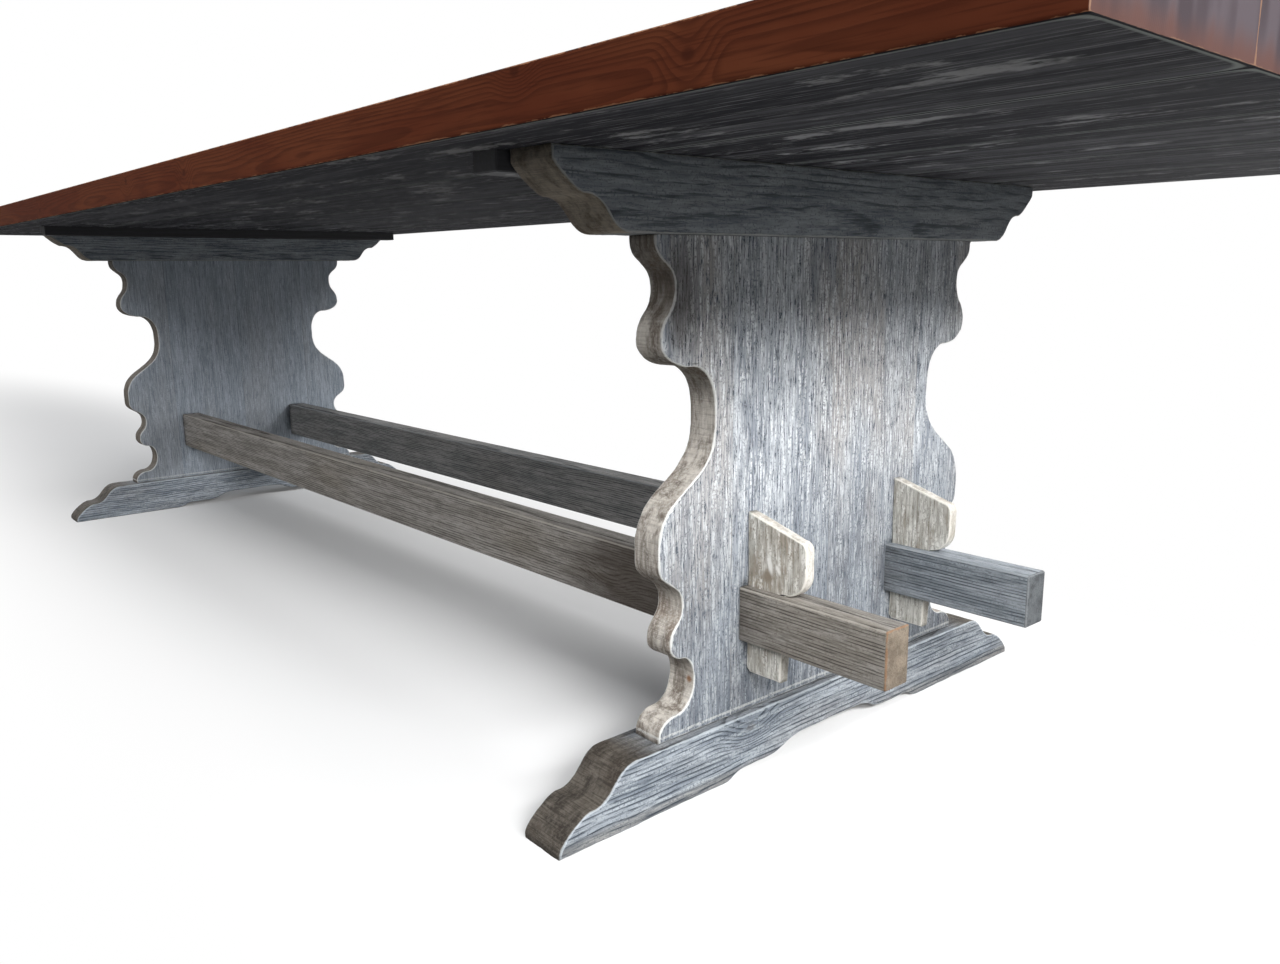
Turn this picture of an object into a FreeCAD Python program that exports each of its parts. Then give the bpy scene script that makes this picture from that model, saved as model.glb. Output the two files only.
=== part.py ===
import FreeCAD, Part
import os
from FreeCAD import Vector

# A long knock-down trestle table, in millimetres.
# X runs along the table, Y across it and Z up. The origin is on the floor, below the middle.

# Overall sizes
table_height = 770.0
top_length = 3180.0
trestle_spacing = 2026.0

# Top: edge-joined boards with stopped loose tongues
board_count = 5
board_width = 210.0
top_thickness = 46.0
top_ease = 3.0
top_tongue_thickness = 10.0
top_tongue_width = 24.0
top_tongue_stop = 45.0

# Battens screwed across the underside, just inside the bearers
batten_width = 42.0
batten_thickness = 21.0
batten_inset = 75.0
batten_gap = 2.0
batten_ease = 1.5
screw_radius = 2.5
screw_head_radius = 5.0
screw_head_depth = 3.0
screw_bite = 25.0
screw_clearance = 0.1

# Bearers at the head of each trestle, with ogee ends
bearer_length = 872.0
bearer_thickness = 70.0
bearer_height = 79.0
bearer_lip = 12.0
bearer_lobe_reach = 37.0
bearer_lobe_drop = 31.0
bearer_ogee_reach = 60.0

# Feet, with ogee toes and a stepped relief between the pads
foot_length = 896.0
foot_thickness = 66.0
foot_height = 78.0
toe_lip = 5.0
toe_lobe_reach = 44.0
toe_lobe_rise = 36.0
toe_ogee_reach = 66.0
relief_half_width = 203.0
relief_step_height = 9.0
relief_step_outer = 165.0
relief_step_inner = 128.0
relief_arch_height = 24.0
relief_arch_half_width = 50.0

# Pedestal slabs: upright boards with one scalloped outline
slab_thickness = 43.0
slab_tongue_thickness = 10.0
slab_tongue_width = 20.0
slab_tongue_stop = 45.0
slab_waist_cover = 28.0
stub_length = 30.0
stub_thickness = 18.0
stub_inset = 15.0
stub_glue_space = 1.0

# Half widths of the scallops, and their levels below the bearer or above the foot
slab_head_half_width = 298.0
slab_head_fillet = 4.0
neck_half_width, neck_below = 269.0, 53.0
shoulder_half_width, shoulder_below = 290.0, 112.0
ledge_half_width, ledge_below = 244.0, 140.0
waist_half_width, waist_below, waist_run = 208.0, 187.0, 20.0
belly_half_width, belly_above, belly_run = 295.0, 210.0, 16.0
ankle_half_width, ankle_above = 259.0, 160.0
knuckle_half_width, knuckle_above = 278.0, 112.0
step_half_width, step_above = 258.0, 94.0
heel_half_width, heel_above = 241.0, 65.0
sweep_half_width, sweep_above = 268.0, 29.0
slab_base_half_width, slab_base_fillet = 296.0, 6.0

# Stretchers, shouldered at the slabs, with long through tenons
stretcher_spacing = 290.0
stretcher_thickness = 43.0
stretcher_height = 85.0
stretcher_above_foot = 84.0
stretcher_ease = 2.0
tenon_thickness = 40.0
tenon_height = 67.0
tenon_reach = 210.0
tenon_ease = 4.0
tenon_clearance = 0.3

# Tusk keys, driven down through the tenons against the slabs
tusk_thickness = 15.0
tusk_head_reach = 90.0
tusk_tail_top = 60.0
tusk_tail_end = 54.0
tusk_above_tenon = 91.0
tusk_below_tenon = 42.0
tusk_brow_drop = 22.0
tusk_nose_radius = 12.0
tusk_tail_ease = 5.0
tusk_clearance = 0.3
tusk_draw = 6.0

# Pegs that stand in the bearers and keep the top in place
peg_radius = 10.0
peg_in_bearer = 30.0
peg_in_top = 18.0
peg_ease = 2.0
peg_glue_clearance = 0.1
peg_top_clearance = 1.0

# How full the curves are: a quarter round, and the flatter lobes of the bearers and toes
round_fullness = 0.55
bearer_lobe_fullness = 0.2
toe_lobe_fullness = 0.3

# Levels and places that follow from the sizes above
top_width = board_count * board_width
underside = table_height - top_thickness
bearer_base = underside - bearer_height
trestle_x = trestle_spacing / 2
slab_face = trestle_x + slab_thickness / 2
slab_back = trestle_x - slab_thickness / 2
stretcher_y = stretcher_spacing / 2
stretcher_base = foot_height + stretcher_above_foot
tenon_base = stretcher_base + (stretcher_height - tenon_height) / 2
tenon_top = tenon_base + tenon_height
slab_joint_y = waist_half_width - slab_waist_cover
through = 10.0


def centred_box(centre_x, centre_y, base, size_x, size_y, size_z):
    """A box that stands on a level and is centred on a point in plan."""
    corner = Vector(centre_x - size_x / 2, centre_y - size_y / 2, base)
    return Part.makeBox(size_x, size_y, size_z, corner)


def link(start, end, fullness, side, x):
    """One edge of an outline across the table: straight, or a curve with level or plumb ends."""
    (y0, z0, heading0), (y1, z1, heading1) = start, end
    poles = [(y0, z0)]
    if fullness:
        leave = (0, z1 - z0) if heading0 == "plumb" else (y1 - y0, 0)
        arrive = (0, z1 - z0) if heading1 == "plumb" else (y1 - y0, 0)
        poles.append((y0 + fullness * leave[0], z0 + fullness * leave[1]))
        poles.append((y1 - fullness * arrive[0], z1 - fullness * arrive[1]))
    poles.append((y1, z1))
    curve = Part.BezierCurve()
    curve.setPoles([Vector(x, side * y, z) for y, z in poles])
    if not fullness:
        return Part.LineSegment(curve.StartPoint, curve.EndPoint).toShape()
    return curve.toShape()


def symmetric_plate(stations, x, thickness):
    """A plate across the table from half an outline, given from its bottom to its top.

    A station is a half width, a level, the heading of the curve there and how full the curve
    is that leads to it, which is 0 for a straight edge.
    """
    points = [station[:3] for station in stations]
    edges = []
    for side in (1, -1):
        for start, end, station in zip(points, points[1:], stations[1:]):
            edges.append(link(start, end, station[3], side, x))
    for half_width, level, _ in (points[0], points[-1]):
        edges.append(Part.LineSegment(Vector(x, half_width, level), Vector(x, -half_width, level)).toShape())
    wire = Part.Wire(Part.__sortEdges__(edges))
    return Part.Face(wire).extrude(Vector(thickness, 0, 0))


def bearer_stations():
    tip = bearer_length / 2
    lobe = tip - bearer_lobe_reach
    return [
        (lobe - bearer_ogee_reach, bearer_base, "level", 0),
        (lobe, underside - bearer_lip - bearer_lobe_drop, "level", round_fullness),
        (tip, underside - bearer_lip, "plumb", bearer_lobe_fullness),
        (tip, underside, "plumb", 0),
    ]


def foot_stations():
    tip = foot_length / 2
    lobe = tip - toe_lobe_reach
    return [
        (relief_arch_half_width, relief_arch_height, "level", 0),
        (relief_step_inner, relief_step_height, "level", round_fullness),
        (relief_step_outer, relief_step_height, "level", 0),
        (relief_half_width, 0, "level", round_fullness),
        (tip, 0, "level", 0),
        (tip, toe_lip, "plumb", 0),
        (lobe, toe_lip + toe_lobe_rise, "level", toe_lobe_fullness),
        (lobe - toe_ogee_reach, foot_height, "level", round_fullness),
    ]


def slab_stations():
    foot, head, full = foot_height, bearer_base, round_fullness
    return [
        (slab_base_half_width, foot, "plumb", 0),
        (slab_base_half_width, foot + slab_base_fillet, "plumb", 0),
        (sweep_half_width, foot + sweep_above, "level", full),
        (heel_half_width, foot + heel_above, "plumb", full),
        (step_half_width, foot + step_above, "level", full),
        (knuckle_half_width, foot + knuckle_above, "plumb", full),
        (ankle_half_width, foot + ankle_above, "plumb", full),
        (belly_half_width, foot + belly_above, "plumb", full),
        (belly_half_width, foot + belly_above + belly_run, "plumb", 0),
        (waist_half_width, head - waist_below - waist_run, "plumb", full),
        (waist_half_width, head - waist_below, "plumb", 0),
        (ledge_half_width, head - ledge_below, "level", full),
        (shoulder_half_width, head - shoulder_below, "plumb", full),
        (neck_half_width, head - neck_below, "plumb", full),
        (slab_head_half_width, head - slab_head_fillet, "plumb", full),
        (slab_head_half_width, head, "plumb", 0),
    ]


def board_spans():
    """The span in Y of each upright board of a slab, at its head and at its base."""
    joint = slab_joint_y
    inner = [(-joint, 0), (0, joint)]
    heads = [(-slab_head_half_width, -joint), *inner, (joint, slab_head_half_width)]
    bases = [(-slab_base_half_width, -joint), *inner, (joint, slab_base_half_width)]
    return list(zip(heads, bases))


def stub(centre_x, span, base, length):
    """A stub tenon of one slab board, or the shape of its mortise."""
    size_y = span[1] - span[0] - 2 * stub_inset
    return centred_box(centre_x, (span[0] + span[1]) / 2, base, stub_thickness, size_y, length)


def stretcher_mortise(centre_x, side):
    """The opening in a slab that a stretcher tenon passes through."""
    grown = 2 * tenon_clearance
    return centred_box(centre_x, side * stretcher_y, tenon_base - tenon_clearance,
                       slab_thickness + 2 * through, tenon_thickness + grown, tenon_height + grown)


def slab_tongues(centre_x, clearance):
    """The loose tongues between the boards of a slab, or their grooves with a clearance."""
    base = foot_height + slab_tongue_stop - clearance
    length = bearer_base - slab_tongue_stop + clearance - base
    tongues = []
    for y in (-slab_joint_y, 0, slab_joint_y):
        width = slab_tongue_width + 2 * clearance
        tongues.append(centred_box(centre_x, y, base, slab_tongue_thickness, width, length))
    return Part.makeCompound(tongues)


def cut_all(shape, tools):
    for tool in tools:
        shape = shape.cut(tool)
    return shape


def make_slab(centre_x):
    """The boards of one slab, and the tongues that join them."""
    plate = symmetric_plate(slab_stations(), centre_x - slab_thickness / 2, slab_thickness)
    mortises = [stretcher_mortise(centre_x, side) for side in (-1, 1)]
    grooves = slab_tongues(centre_x, stub_glue_space).Solids
    outer = max(half_width for half_width, *_ in slab_stations()) + through
    limits = [-outer, -slab_joint_y, 0, slab_joint_y, outer]
    height = bearer_base - foot_height
    boards = []
    for (low, high), (head, base) in zip(zip(limits, limits[1:]), board_spans()):
        span = centred_box(centre_x, (low + high) / 2, foot_height, slab_thickness, high - low, height)
        board = cut_all(plate.common(span), mortises + grooves)
        board = board.fuse(stub(centre_x, head, bearer_base, stub_length))
        board = board.fuse(stub(centre_x, base, foot_height - stub_length, stub_length))
        boards.append(board.removeSplitter())
    tongues = [cut_all(tongue, mortises) for tongue in slab_tongues(centre_x, 0).Solids]
    return boards, Part.makeCompound(tongues)


def peg_places(centre_x):
    return [(centre_x, side * board_width) for side in (-1, 1)]


def make_bearer(centre_x):
    bearer = symmetric_plate(bearer_stations(), centre_x - bearer_thickness / 2, bearer_thickness)
    mortises = [stub(centre_x, head, bearer_base, stub_length + stub_glue_space) for head, _ in board_spans()]
    holes = []
    for x, y in peg_places(centre_x):
        foot = Vector(x, y, underside - peg_in_bearer)
        holes.append(Part.makeCylinder(peg_radius + peg_glue_clearance, peg_in_bearer, foot))
    return cut_all(bearer, mortises + holes)


def make_foot(centre_x):
    foot = symmetric_plate(foot_stations(), centre_x - foot_thickness / 2, foot_thickness)
    depth = stub_length + stub_glue_space
    return cut_all(foot, [stub(centre_x, base, foot_height - depth, depth) for _, base in board_spans()])


def make_pegs(centre_x):
    pegs = []
    for x, y in peg_places(centre_x):
        foot = Vector(x, y, underside - peg_in_bearer)
        straight = peg_in_bearer + peg_in_top - peg_ease
        peg = Part.makeCylinder(peg_radius, straight, foot)
        tip = Part.makeCone(peg_radius, peg_radius - peg_ease, peg_ease, foot + Vector(0, 0, straight))
        pegs.append(peg.fuse(tip))
    return Part.makeCompound(pegs)


def eased_box(box, ease, keep):
    """A box with the arrises chamfered that the rule keeps."""
    edges = [edge for edge in box.Edges if keep(edge.CenterOfMass)]
    return box.makeChamfer(ease, edges)


def tusk_tail_reach(level):
    """How far the sloping outer edge of a tusk's tail stands from the slab at a level."""
    taper = (tusk_tail_top - tusk_tail_end) / (tenon_height + tusk_below_tenon)
    return tusk_tail_top + taper * (level - tenon_top)


def plate_along(points, y, thickness):
    """A plate along the table from a list of X and Z points and arcs' middle points."""
    edges = []
    start = points[0]
    for middle, end in points[1:]:
        ends = Vector(start[0], y, start[1]), Vector(end[0], y, end[1])
        if middle:
            edges.append(Part.Arc(ends[0], Vector(middle[0], y, middle[1]), ends[1]).toShape())
        else:
            edges.append(Part.LineSegment(*ends).toShape())
        start = end
    return Part.Face(Part.Wire(edges)).extrude(Vector(0, thickness, 0))


def tusk_mortise(end, side):
    """The slot through a tenon that a tusk is driven into."""
    near = slab_face - tusk_draw
    levels = (tenon_base - through, tenon_top + through)
    low, high = [slab_face + tusk_tail_reach(level) + tusk_clearance for level in levels]
    corners = [(near, levels[0]), (low, levels[0]), (high, levels[1]), (near, levels[1])]
    corners = [(end * x, z) for x, z in corners]
    width = tusk_thickness + 2 * tusk_clearance
    outline = [corners[0]] + [(None, corner) for corner in corners[1:] + corners[:1]]
    return plate_along(outline, side * stretcher_y - width / 2, width)


def make_tusk(end, side):
    """A tusk key: a tail in the tenon and a head with a sloping brow, a nose and a round chin."""
    inner = slab_face + tusk_clearance
    outer = slab_face + tusk_head_reach
    seat = tenon_top + tusk_clearance
    crown = tenon_top + tusk_above_tenon
    tip = tenon_base - tusk_below_tenon
    brow = crown - tusk_brow_drop
    tail_root = slab_face + tusk_tail_reach(seat)
    tail_end = slab_face + tusk_tail_end
    nose = tusk_nose_radius
    chin = outer - tail_root
    diagonal = 0.5 ** 0.5
    outline = [
        (inner, tip + tusk_tail_ease),
        (None, (inner, crown)),
        (None, (outer - nose, brow)),
        ((outer - nose + nose * diagonal, brow - nose + nose * diagonal), (outer, brow - nose)),
        (None, (outer, seat + chin)),
        ((tail_root + chin * diagonal, seat + chin - chin * diagonal), (tail_root, seat)),
        (None, (tail_end, tip)),
        (None, (inner + tusk_tail_ease, tip)),
        (None, (inner, tip + tusk_tail_ease)),
    ]
    mirrored = [(end * outline[0][0], outline[0][1])]
    for middle, (x, z) in outline[1:]:
        mirrored.append((middle and (end * middle[0], middle[1]), (end * x, z)))
    return plate_along(mirrored, side * stretcher_y - tusk_thickness / 2, tusk_thickness)


def make_stretcher(side):
    """A rail between the slabs, with a through tenon and a tusk slot at each end."""
    y = side * stretcher_y
    rail = centred_box(0, y, stretcher_base, 2 * slab_back, stretcher_thickness, stretcher_height)
    rail = eased_box(rail, stretcher_ease, lambda middle: abs(middle.x) < slab_back / 2)
    tip = slab_face + tenon_reach
    tenon = centred_box(0, y, tenon_base, 2 * tip, tenon_thickness, tenon_height)
    tenon = eased_box(tenon, tenon_ease, lambda middle: abs(middle.x) > slab_back)
    slots = [tusk_mortise(end, side) for end in (-1, 1)]
    return cut_all(rail.fuse(tenon).removeSplitter(), slots)


def batten_x(end):
    return end * (trestle_x - bearer_thickness / 2 - batten_gap - batten_width / 2)


def board_centres():
    return [(index - (board_count - 1) / 2) * board_width for index in range(board_count)]


def screw(x, y, clearance):
    """A countersunk screw up through a batten into a board, or its hole with a clearance."""
    base = underside - batten_thickness
    shank = Part.makeCylinder(screw_radius + clearance, batten_thickness + screw_bite, Vector(x, y, base))
    head = Part.makeCone(screw_head_radius + clearance, screw_radius + clearance, screw_head_depth,
                         Vector(x, y, base))
    return shank.fuse(head).removeSplitter()


def screw_places(end):
    return [(batten_x(end), y) for y in board_centres()]


def make_batten(end):
    length = top_width - 2 * batten_inset
    batten = centred_box(batten_x(end), 0, underside - batten_thickness, batten_width, length, batten_thickness)
    batten = eased_box(batten, batten_ease, lambda middle: middle.z < underside)
    return cut_all(batten, [screw(x, y, screw_clearance) for x, y in screw_places(end)])


def top_tongues(clearance):
    """The loose tongues between the top boards, or their grooves with a clearance."""
    middle = underside + top_thickness / 2
    length = top_length - 2 * top_tongue_stop + 2 * clearance
    width = top_tongue_width + 2 * clearance
    tongues = []
    for y in board_centres()[:-1]:
        tongues.append(centred_box(0, y + board_width / 2, middle - top_tongue_thickness / 2,
                                   length, width, top_tongue_thickness))
    return Part.makeCompound(tongues)


def make_top_boards():
    block = centred_box(0, 0, underside, top_length, top_width, top_thickness)
    block = eased_box(block, top_ease, lambda middle: True)
    holes = top_tongues(stub_glue_space).Solids
    for end in (-1, 1):
        holes += [screw(x, y, screw_clearance) for x, y in screw_places(end)]
        for x, y in peg_places(end * trestle_x):
            depth = peg_in_top + peg_top_clearance
            holes.append(Part.makeCylinder(peg_radius + peg_top_clearance, depth, Vector(x, y, underside)))
    boards = []
    for y in board_centres():
        strip = centred_box(0, y, underside, top_length, board_width, top_thickness)
        reach = strip.BoundBox
        near = [hole for hole in holes if hole.BoundBox.intersect(reach)]
        boards.append(cut_all(block.common(strip), near))
    return boards


def make_table():
    """Every piece of the table, by its name."""
    pieces = {}
    for number, board in enumerate(make_top_boards(), 1):
        pieces[f"top_board_{number}"] = board
    pieces["top_tongues"] = top_tongues(0)
    screws = []
    for end, name in ((1, "near"), (-1, "far")):
        x = end * trestle_x
        pieces[f"batten_{name}"] = make_batten(end)
        screws += [screw(place_x, y, 0) for place_x, y in screw_places(end)]
        pieces[f"bearer_{name}"] = make_bearer(x)
        pieces[f"foot_{name}"] = make_foot(x)
        boards, tongues = make_slab(x)
        for number, board in enumerate(boards, 1):
            pieces[f"slab_{name}_board_{number}"] = board
        pieces[f"slab_{name}_tongues"] = tongues
        pieces[f"locating_pegs_{name}"] = make_pegs(x)
        for side, place in ((-1, "front"), (1, "back")):
            pieces[f"tusk_{name}_{place}"] = make_tusk(end, side)
    pieces["batten_screws"] = Part.makeCompound(screws)
    for side, place in ((-1, "front"), (1, "back")):
        pieces[f"stretcher_{place}"] = make_stretcher(side)
    return pieces


os.makedirs("parts", exist_ok=True)
for name, shape in make_table().items():
    print(name, len(shape.Solids), "solids", round(shape.Volume / 1000), "cm3", shape.isValid())
    shape.exportStep(f"parts/{name}.step")
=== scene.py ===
import math
from functools import partial
import bmesh
import bpy
import numpy as np
from mathutils import Matrix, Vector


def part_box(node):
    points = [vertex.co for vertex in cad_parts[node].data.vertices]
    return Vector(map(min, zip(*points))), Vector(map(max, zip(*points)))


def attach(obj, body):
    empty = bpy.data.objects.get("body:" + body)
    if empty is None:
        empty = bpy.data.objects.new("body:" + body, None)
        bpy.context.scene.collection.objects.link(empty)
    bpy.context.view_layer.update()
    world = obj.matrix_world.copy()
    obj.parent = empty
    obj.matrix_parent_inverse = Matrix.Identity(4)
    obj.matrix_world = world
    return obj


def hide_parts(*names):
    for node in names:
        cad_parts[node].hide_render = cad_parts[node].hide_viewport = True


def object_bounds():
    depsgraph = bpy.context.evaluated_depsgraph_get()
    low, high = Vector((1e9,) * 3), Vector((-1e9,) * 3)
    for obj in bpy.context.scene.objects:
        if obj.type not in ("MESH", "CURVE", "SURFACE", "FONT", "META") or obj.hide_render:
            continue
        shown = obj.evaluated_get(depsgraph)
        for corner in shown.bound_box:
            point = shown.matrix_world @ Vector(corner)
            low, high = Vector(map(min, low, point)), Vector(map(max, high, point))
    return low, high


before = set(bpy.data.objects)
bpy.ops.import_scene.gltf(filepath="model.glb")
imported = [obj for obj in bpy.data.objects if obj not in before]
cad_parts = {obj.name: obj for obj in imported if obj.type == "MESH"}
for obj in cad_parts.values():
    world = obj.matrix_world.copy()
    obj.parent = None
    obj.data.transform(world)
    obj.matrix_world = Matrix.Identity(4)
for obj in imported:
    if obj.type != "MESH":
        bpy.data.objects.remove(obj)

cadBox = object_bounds()
tableEnd, tableSide, tableTop = cadBox[1]
mm = 0.001

# node settings that come up often
smooth = {"interpolation_type": "SMOOTHSTEP"}
cover = {"data_type": "RGBA"}
glaze = {"data_type": "RGBA", "blend_type": "MULTIPLY"}
times = {"operation": "MULTIPLY"}
timesPlus = {"operation": "MULTIPLY_ADD"}
larger = {"operation": "MAXIMUM"}
length = {"operation": "LENGTH"}


def tone(code):
    # sRGB hex to the linear colour that Blender works in
    parts = np.array([int(code[i:i + 2], 16) for i in (1, 3, 5)]) / 255
    linear = np.where(parts <= 0.04045, parts / 12.92, ((parts + 0.055) / 1.055) ** 2.4)
    return (*linear.tolist(), 1.0)


def addNode(tree, kind, settings=None, inputs=None):
    # one node with its settings; an input takes a value, an output, or a node for its first output in use,
    # and inputs in a list are in the node's own order
    node = tree.nodes.new("ShaderNode" + kind)
    for key, value in (settings or {}).items():
        setattr(node, key, value)
    for key, value in inputs.items() if isinstance(inputs, dict) else enumerate(inputs or []):
        if isinstance(value, bpy.types.Node):
            value = next(output for output in value.outputs if output.enabled)
        if isinstance(value, bpy.types.NodeSocket):
            tree.links.new(value, node.inputs[key])
        else:
            node.inputs[key].default_value = value
    return node


def newMaterial(name):
    # a material with an empty node tree, and addNode for that tree
    material = bpy.data.materials.new(name)
    material.use_nodes = True
    material.node_tree.nodes.clear()
    return material, partial(addNode, material.node_tree)


rippling = {"spread": (0.8, 1.2), "phase": (0, 7), "fall": 0.7, "gain": 1.6}


def ripple(along, seed, longest, count=5):
    # uneven but repeatable: sines of halving wavelength and falling strength, drawn phases, about -1 to 1
    draw = np.random.default_rng(seed)
    order = np.arange(count)
    waves = longest / 2.0 ** order * draw.uniform(*rippling["spread"], count)
    phases = draw.uniform(*rippling["phase"], count)
    strength = rippling["fall"] ** order
    turns = np.multiply.outer(np.asarray(along), 2 * math.pi / waves) + phases
    return (np.sin(turns) * strength).sum(-1) / strength.sum() * rippling["gain"]


def crowded(count, pull=0.75):
    # 0 to 1 in steps that get short towards both ends
    t = np.linspace(0, 1, count)
    return t - pull * np.sin(2 * math.pi * t) / (2 * math.pi)


def straight(start, end, shares):
    # points on a straight line at the given shares of its length
    return np.array(start) + np.outer(shares, np.array(end) - np.array(start))


def halfOutline(stations, step, straightStep=8):
    # from station to station: a straight, or a cubic whose handles run level or plumb
    ways = {"level": np.array([1, 0]), "plumb": np.array([0, 1])}
    points = []
    for (*start, wayOut, _), (*end, wayIn, fullness) in zip(stations, stations[1:]):
        start, end = np.array(start), np.array(end)
        reach = end - start
        fewest, spacing = (3, step) if fullness else (2, straightStep)
        t = np.linspace(0, 1, max(fewest, int(np.abs(reach).sum() / spacing)))[:, None]
        run = start + t * reach
        if fullness:
            leave = start + fullness * reach * ways[wayOut]
            arrive = end - fullness * reach * ways[wayIn]
            run = (1 - t) ** 3 * start + 3 * (1 - t) ** 2 * t * leave
            run = run + 3 * (1 - t) * t ** 2 * arrive + t ** 3 * end
        points.append(run[1:] if points else run)
    return np.concatenate(points) * mm


def lengthAlong(points):
    # distance along a line of points, from its start
    return np.concatenate([[0], np.cumsum(np.linalg.norm(np.diff(points, axis=0), axis=1))])


def coons(bottom, right, top, left):
    # the sheet between four sides: both pairs blended, less the corners that were counted twice
    u = lengthAlong(bottom) / lengthAlong(bottom)[-1]
    v = lengthAlong(left) / lengthAlong(left)[-1]
    u, v = u[None, :, None], v[:, None, None]
    across = (1 - u) * left[:, None] + u * right[:, None]
    upward = (1 - v) * bottom[None] + v * top[None]
    corners = (1 - v) * ((1 - u) * bottom[0] + u * bottom[-1]) + v * ((1 - u) * top[0] + u * top[-1])
    return across + upward - corners


def loopOf(sides):
    # the four sides as one closed loop, anticlockwise
    bottom, right, top, left = sides
    return np.concatenate([bottom[:-1], right[:-1], top[:0:-1], left[:0:-1]])


def sidesOf(loop, n, m):
    # the closed loop cut back into its four sides
    closed = np.concatenate([loop, loop[:1]])
    a, b, c = n - 1, n + m - 2, 2 * n + m - 3
    return closed[:a + 1], closed[a:b + 1], closed[b:c + 1][::-1], closed[c:][::-1]


def outward(loop):
    # each point's outward bisector, and how much longer a step along it is than one square to the edge
    ahead = np.roll(loop, -1, 0) - loop
    ahead = ahead / np.linalg.norm(ahead, axis=1, keepdims=True)
    square = np.stack([ahead[:, 1], -ahead[:, 0]], 1)
    bisector = square + np.roll(square, 1, 0)
    bisector = bisector / np.linalg.norm(bisector, axis=1, keepdims=True)
    return bisector / np.clip((bisector * square).sum(1), 0.5, 1)[:, None]


def nearest(points, targets, far=30 * mm):
    # distance from each point to the closest target, up to a limit
    if not len(targets):
        return np.full(points.shape[:-1], far)
    flat = points.reshape(-1, 2).astype(np.float32)
    best = np.full(len(flat), far, np.float32)
    for part in np.array_split(targets.astype(np.float32), max(1, len(targets) // 64)):
        best = np.minimum(best, np.linalg.norm(flat[:, None] - part[None], axis=2).min(1))
    return best.reshape(points.shape[:-1])


arris = {"points": 6, "sharp": 0.7 * mm, "uneven": 0.35, "longest": 160 * mm, "unworn": 2.2 * mm}
sawing = {"slant": 0.91, "longest": 50 * mm, "waves": 4, "mean": 0.6}
everyEdge = (True, True, True, True)


def plate(sides, low, high, radius, worn, axes, steps, saw, seed, pinned=False):
    # an outline carried through a thickness: a sheet at each end, and between them the loop swept
    # round a quarter circle, along the edge and round a second quarter circle
    loop = loopOf(sides)
    n, m = len(sides[0]), len(sides[1])
    out = outward(loop)
    along = lengthAlong(loop)
    wornLoop = np.repeat(worn, [n - 1, m - 1, n - 1, m - 1])
    size = np.where(wornLoop, radius, min(radius, arris["sharp"]))
    upper, lower = (size * (1 + arris["uneven"] * ripple(along, seed + k, arris["longest"])) for k in (0, 1))
    turn = np.linspace(0, math.pi / 2, arris["points"])[:, None]
    back = turn[::-1]
    share = np.linspace(0, 1, steps)[1:-1, None]
    plain = np.ones((steps - 2, len(loop)))
    inset = np.concatenate([upper * (1 - np.sin(turn)), 0 * plain, lower * (1 - np.sin(back))])
    level = np.concatenate([high - upper * (1 - np.cos(turn)),
                            (high - upper) * (1 - share) + (low + lower) * share,
                            low + lower * (1 - np.cos(back))])
    rise = np.repeat(turn / (math.pi / 2), len(loop), 1)
    sawn = np.concatenate([rise, plain, rise[::-1]])
    wave = ripple(along + sawing["slant"] * level[:, :1], seed + 5, sawing["longest"], sawing["waves"])
    inset = inset + saw * sawing["mean"] * (1 + wave) * sawn * wornLoop
    flat = loop[None] - inset[:, :, None] * out[None]
    rim = np.concatenate([flat, level[:, :, None]], 2)
    crest = math.pi / 4
    fromCrest = np.concatenate([np.abs(turn - crest) * upper,
                                crest * size + np.minimum(share, 1 - share) * (high - low - 2 * size),
                                np.abs(back - crest) * lower])
    rimEdge = np.where(wornLoop, fromCrest, fromCrest + arris["unworn"])
    patches = [(*(np.concatenate([grid, grid[:, :1]], 1) for grid in (rim, rimEdge, sawn)), None)]
    for row, end in ((0, high), (-1, low)):
        sheet = coons(*sidesOf(flat[row], n, m))
        if pinned:  # the inner lines stay where the outline has them, so that a mortise can follow them
            sheet[1:-1, 1:-1] = coons(*sides)[1:-1, 1:-1]
        gap = np.clip(nearest(sheet, loop[wornLoop]) - radius, 0, None) + crest * radius
        gap = np.minimum(gap, nearest(sheet, loop[~wornLoop]) + arris["unworn"])
        grid = np.concatenate([sheet, np.full((*sheet.shape[:2], 1), end)], 2)
        patches.append((grid, gap, np.zeros(gap.shape), None))
    return [(grid[..., axes], *rest) for grid, *rest in patches]


weld = {"step": 0.002 * mm, "shift": 0.37}  # the shift keeps round sizes off the edge between two steps


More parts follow.
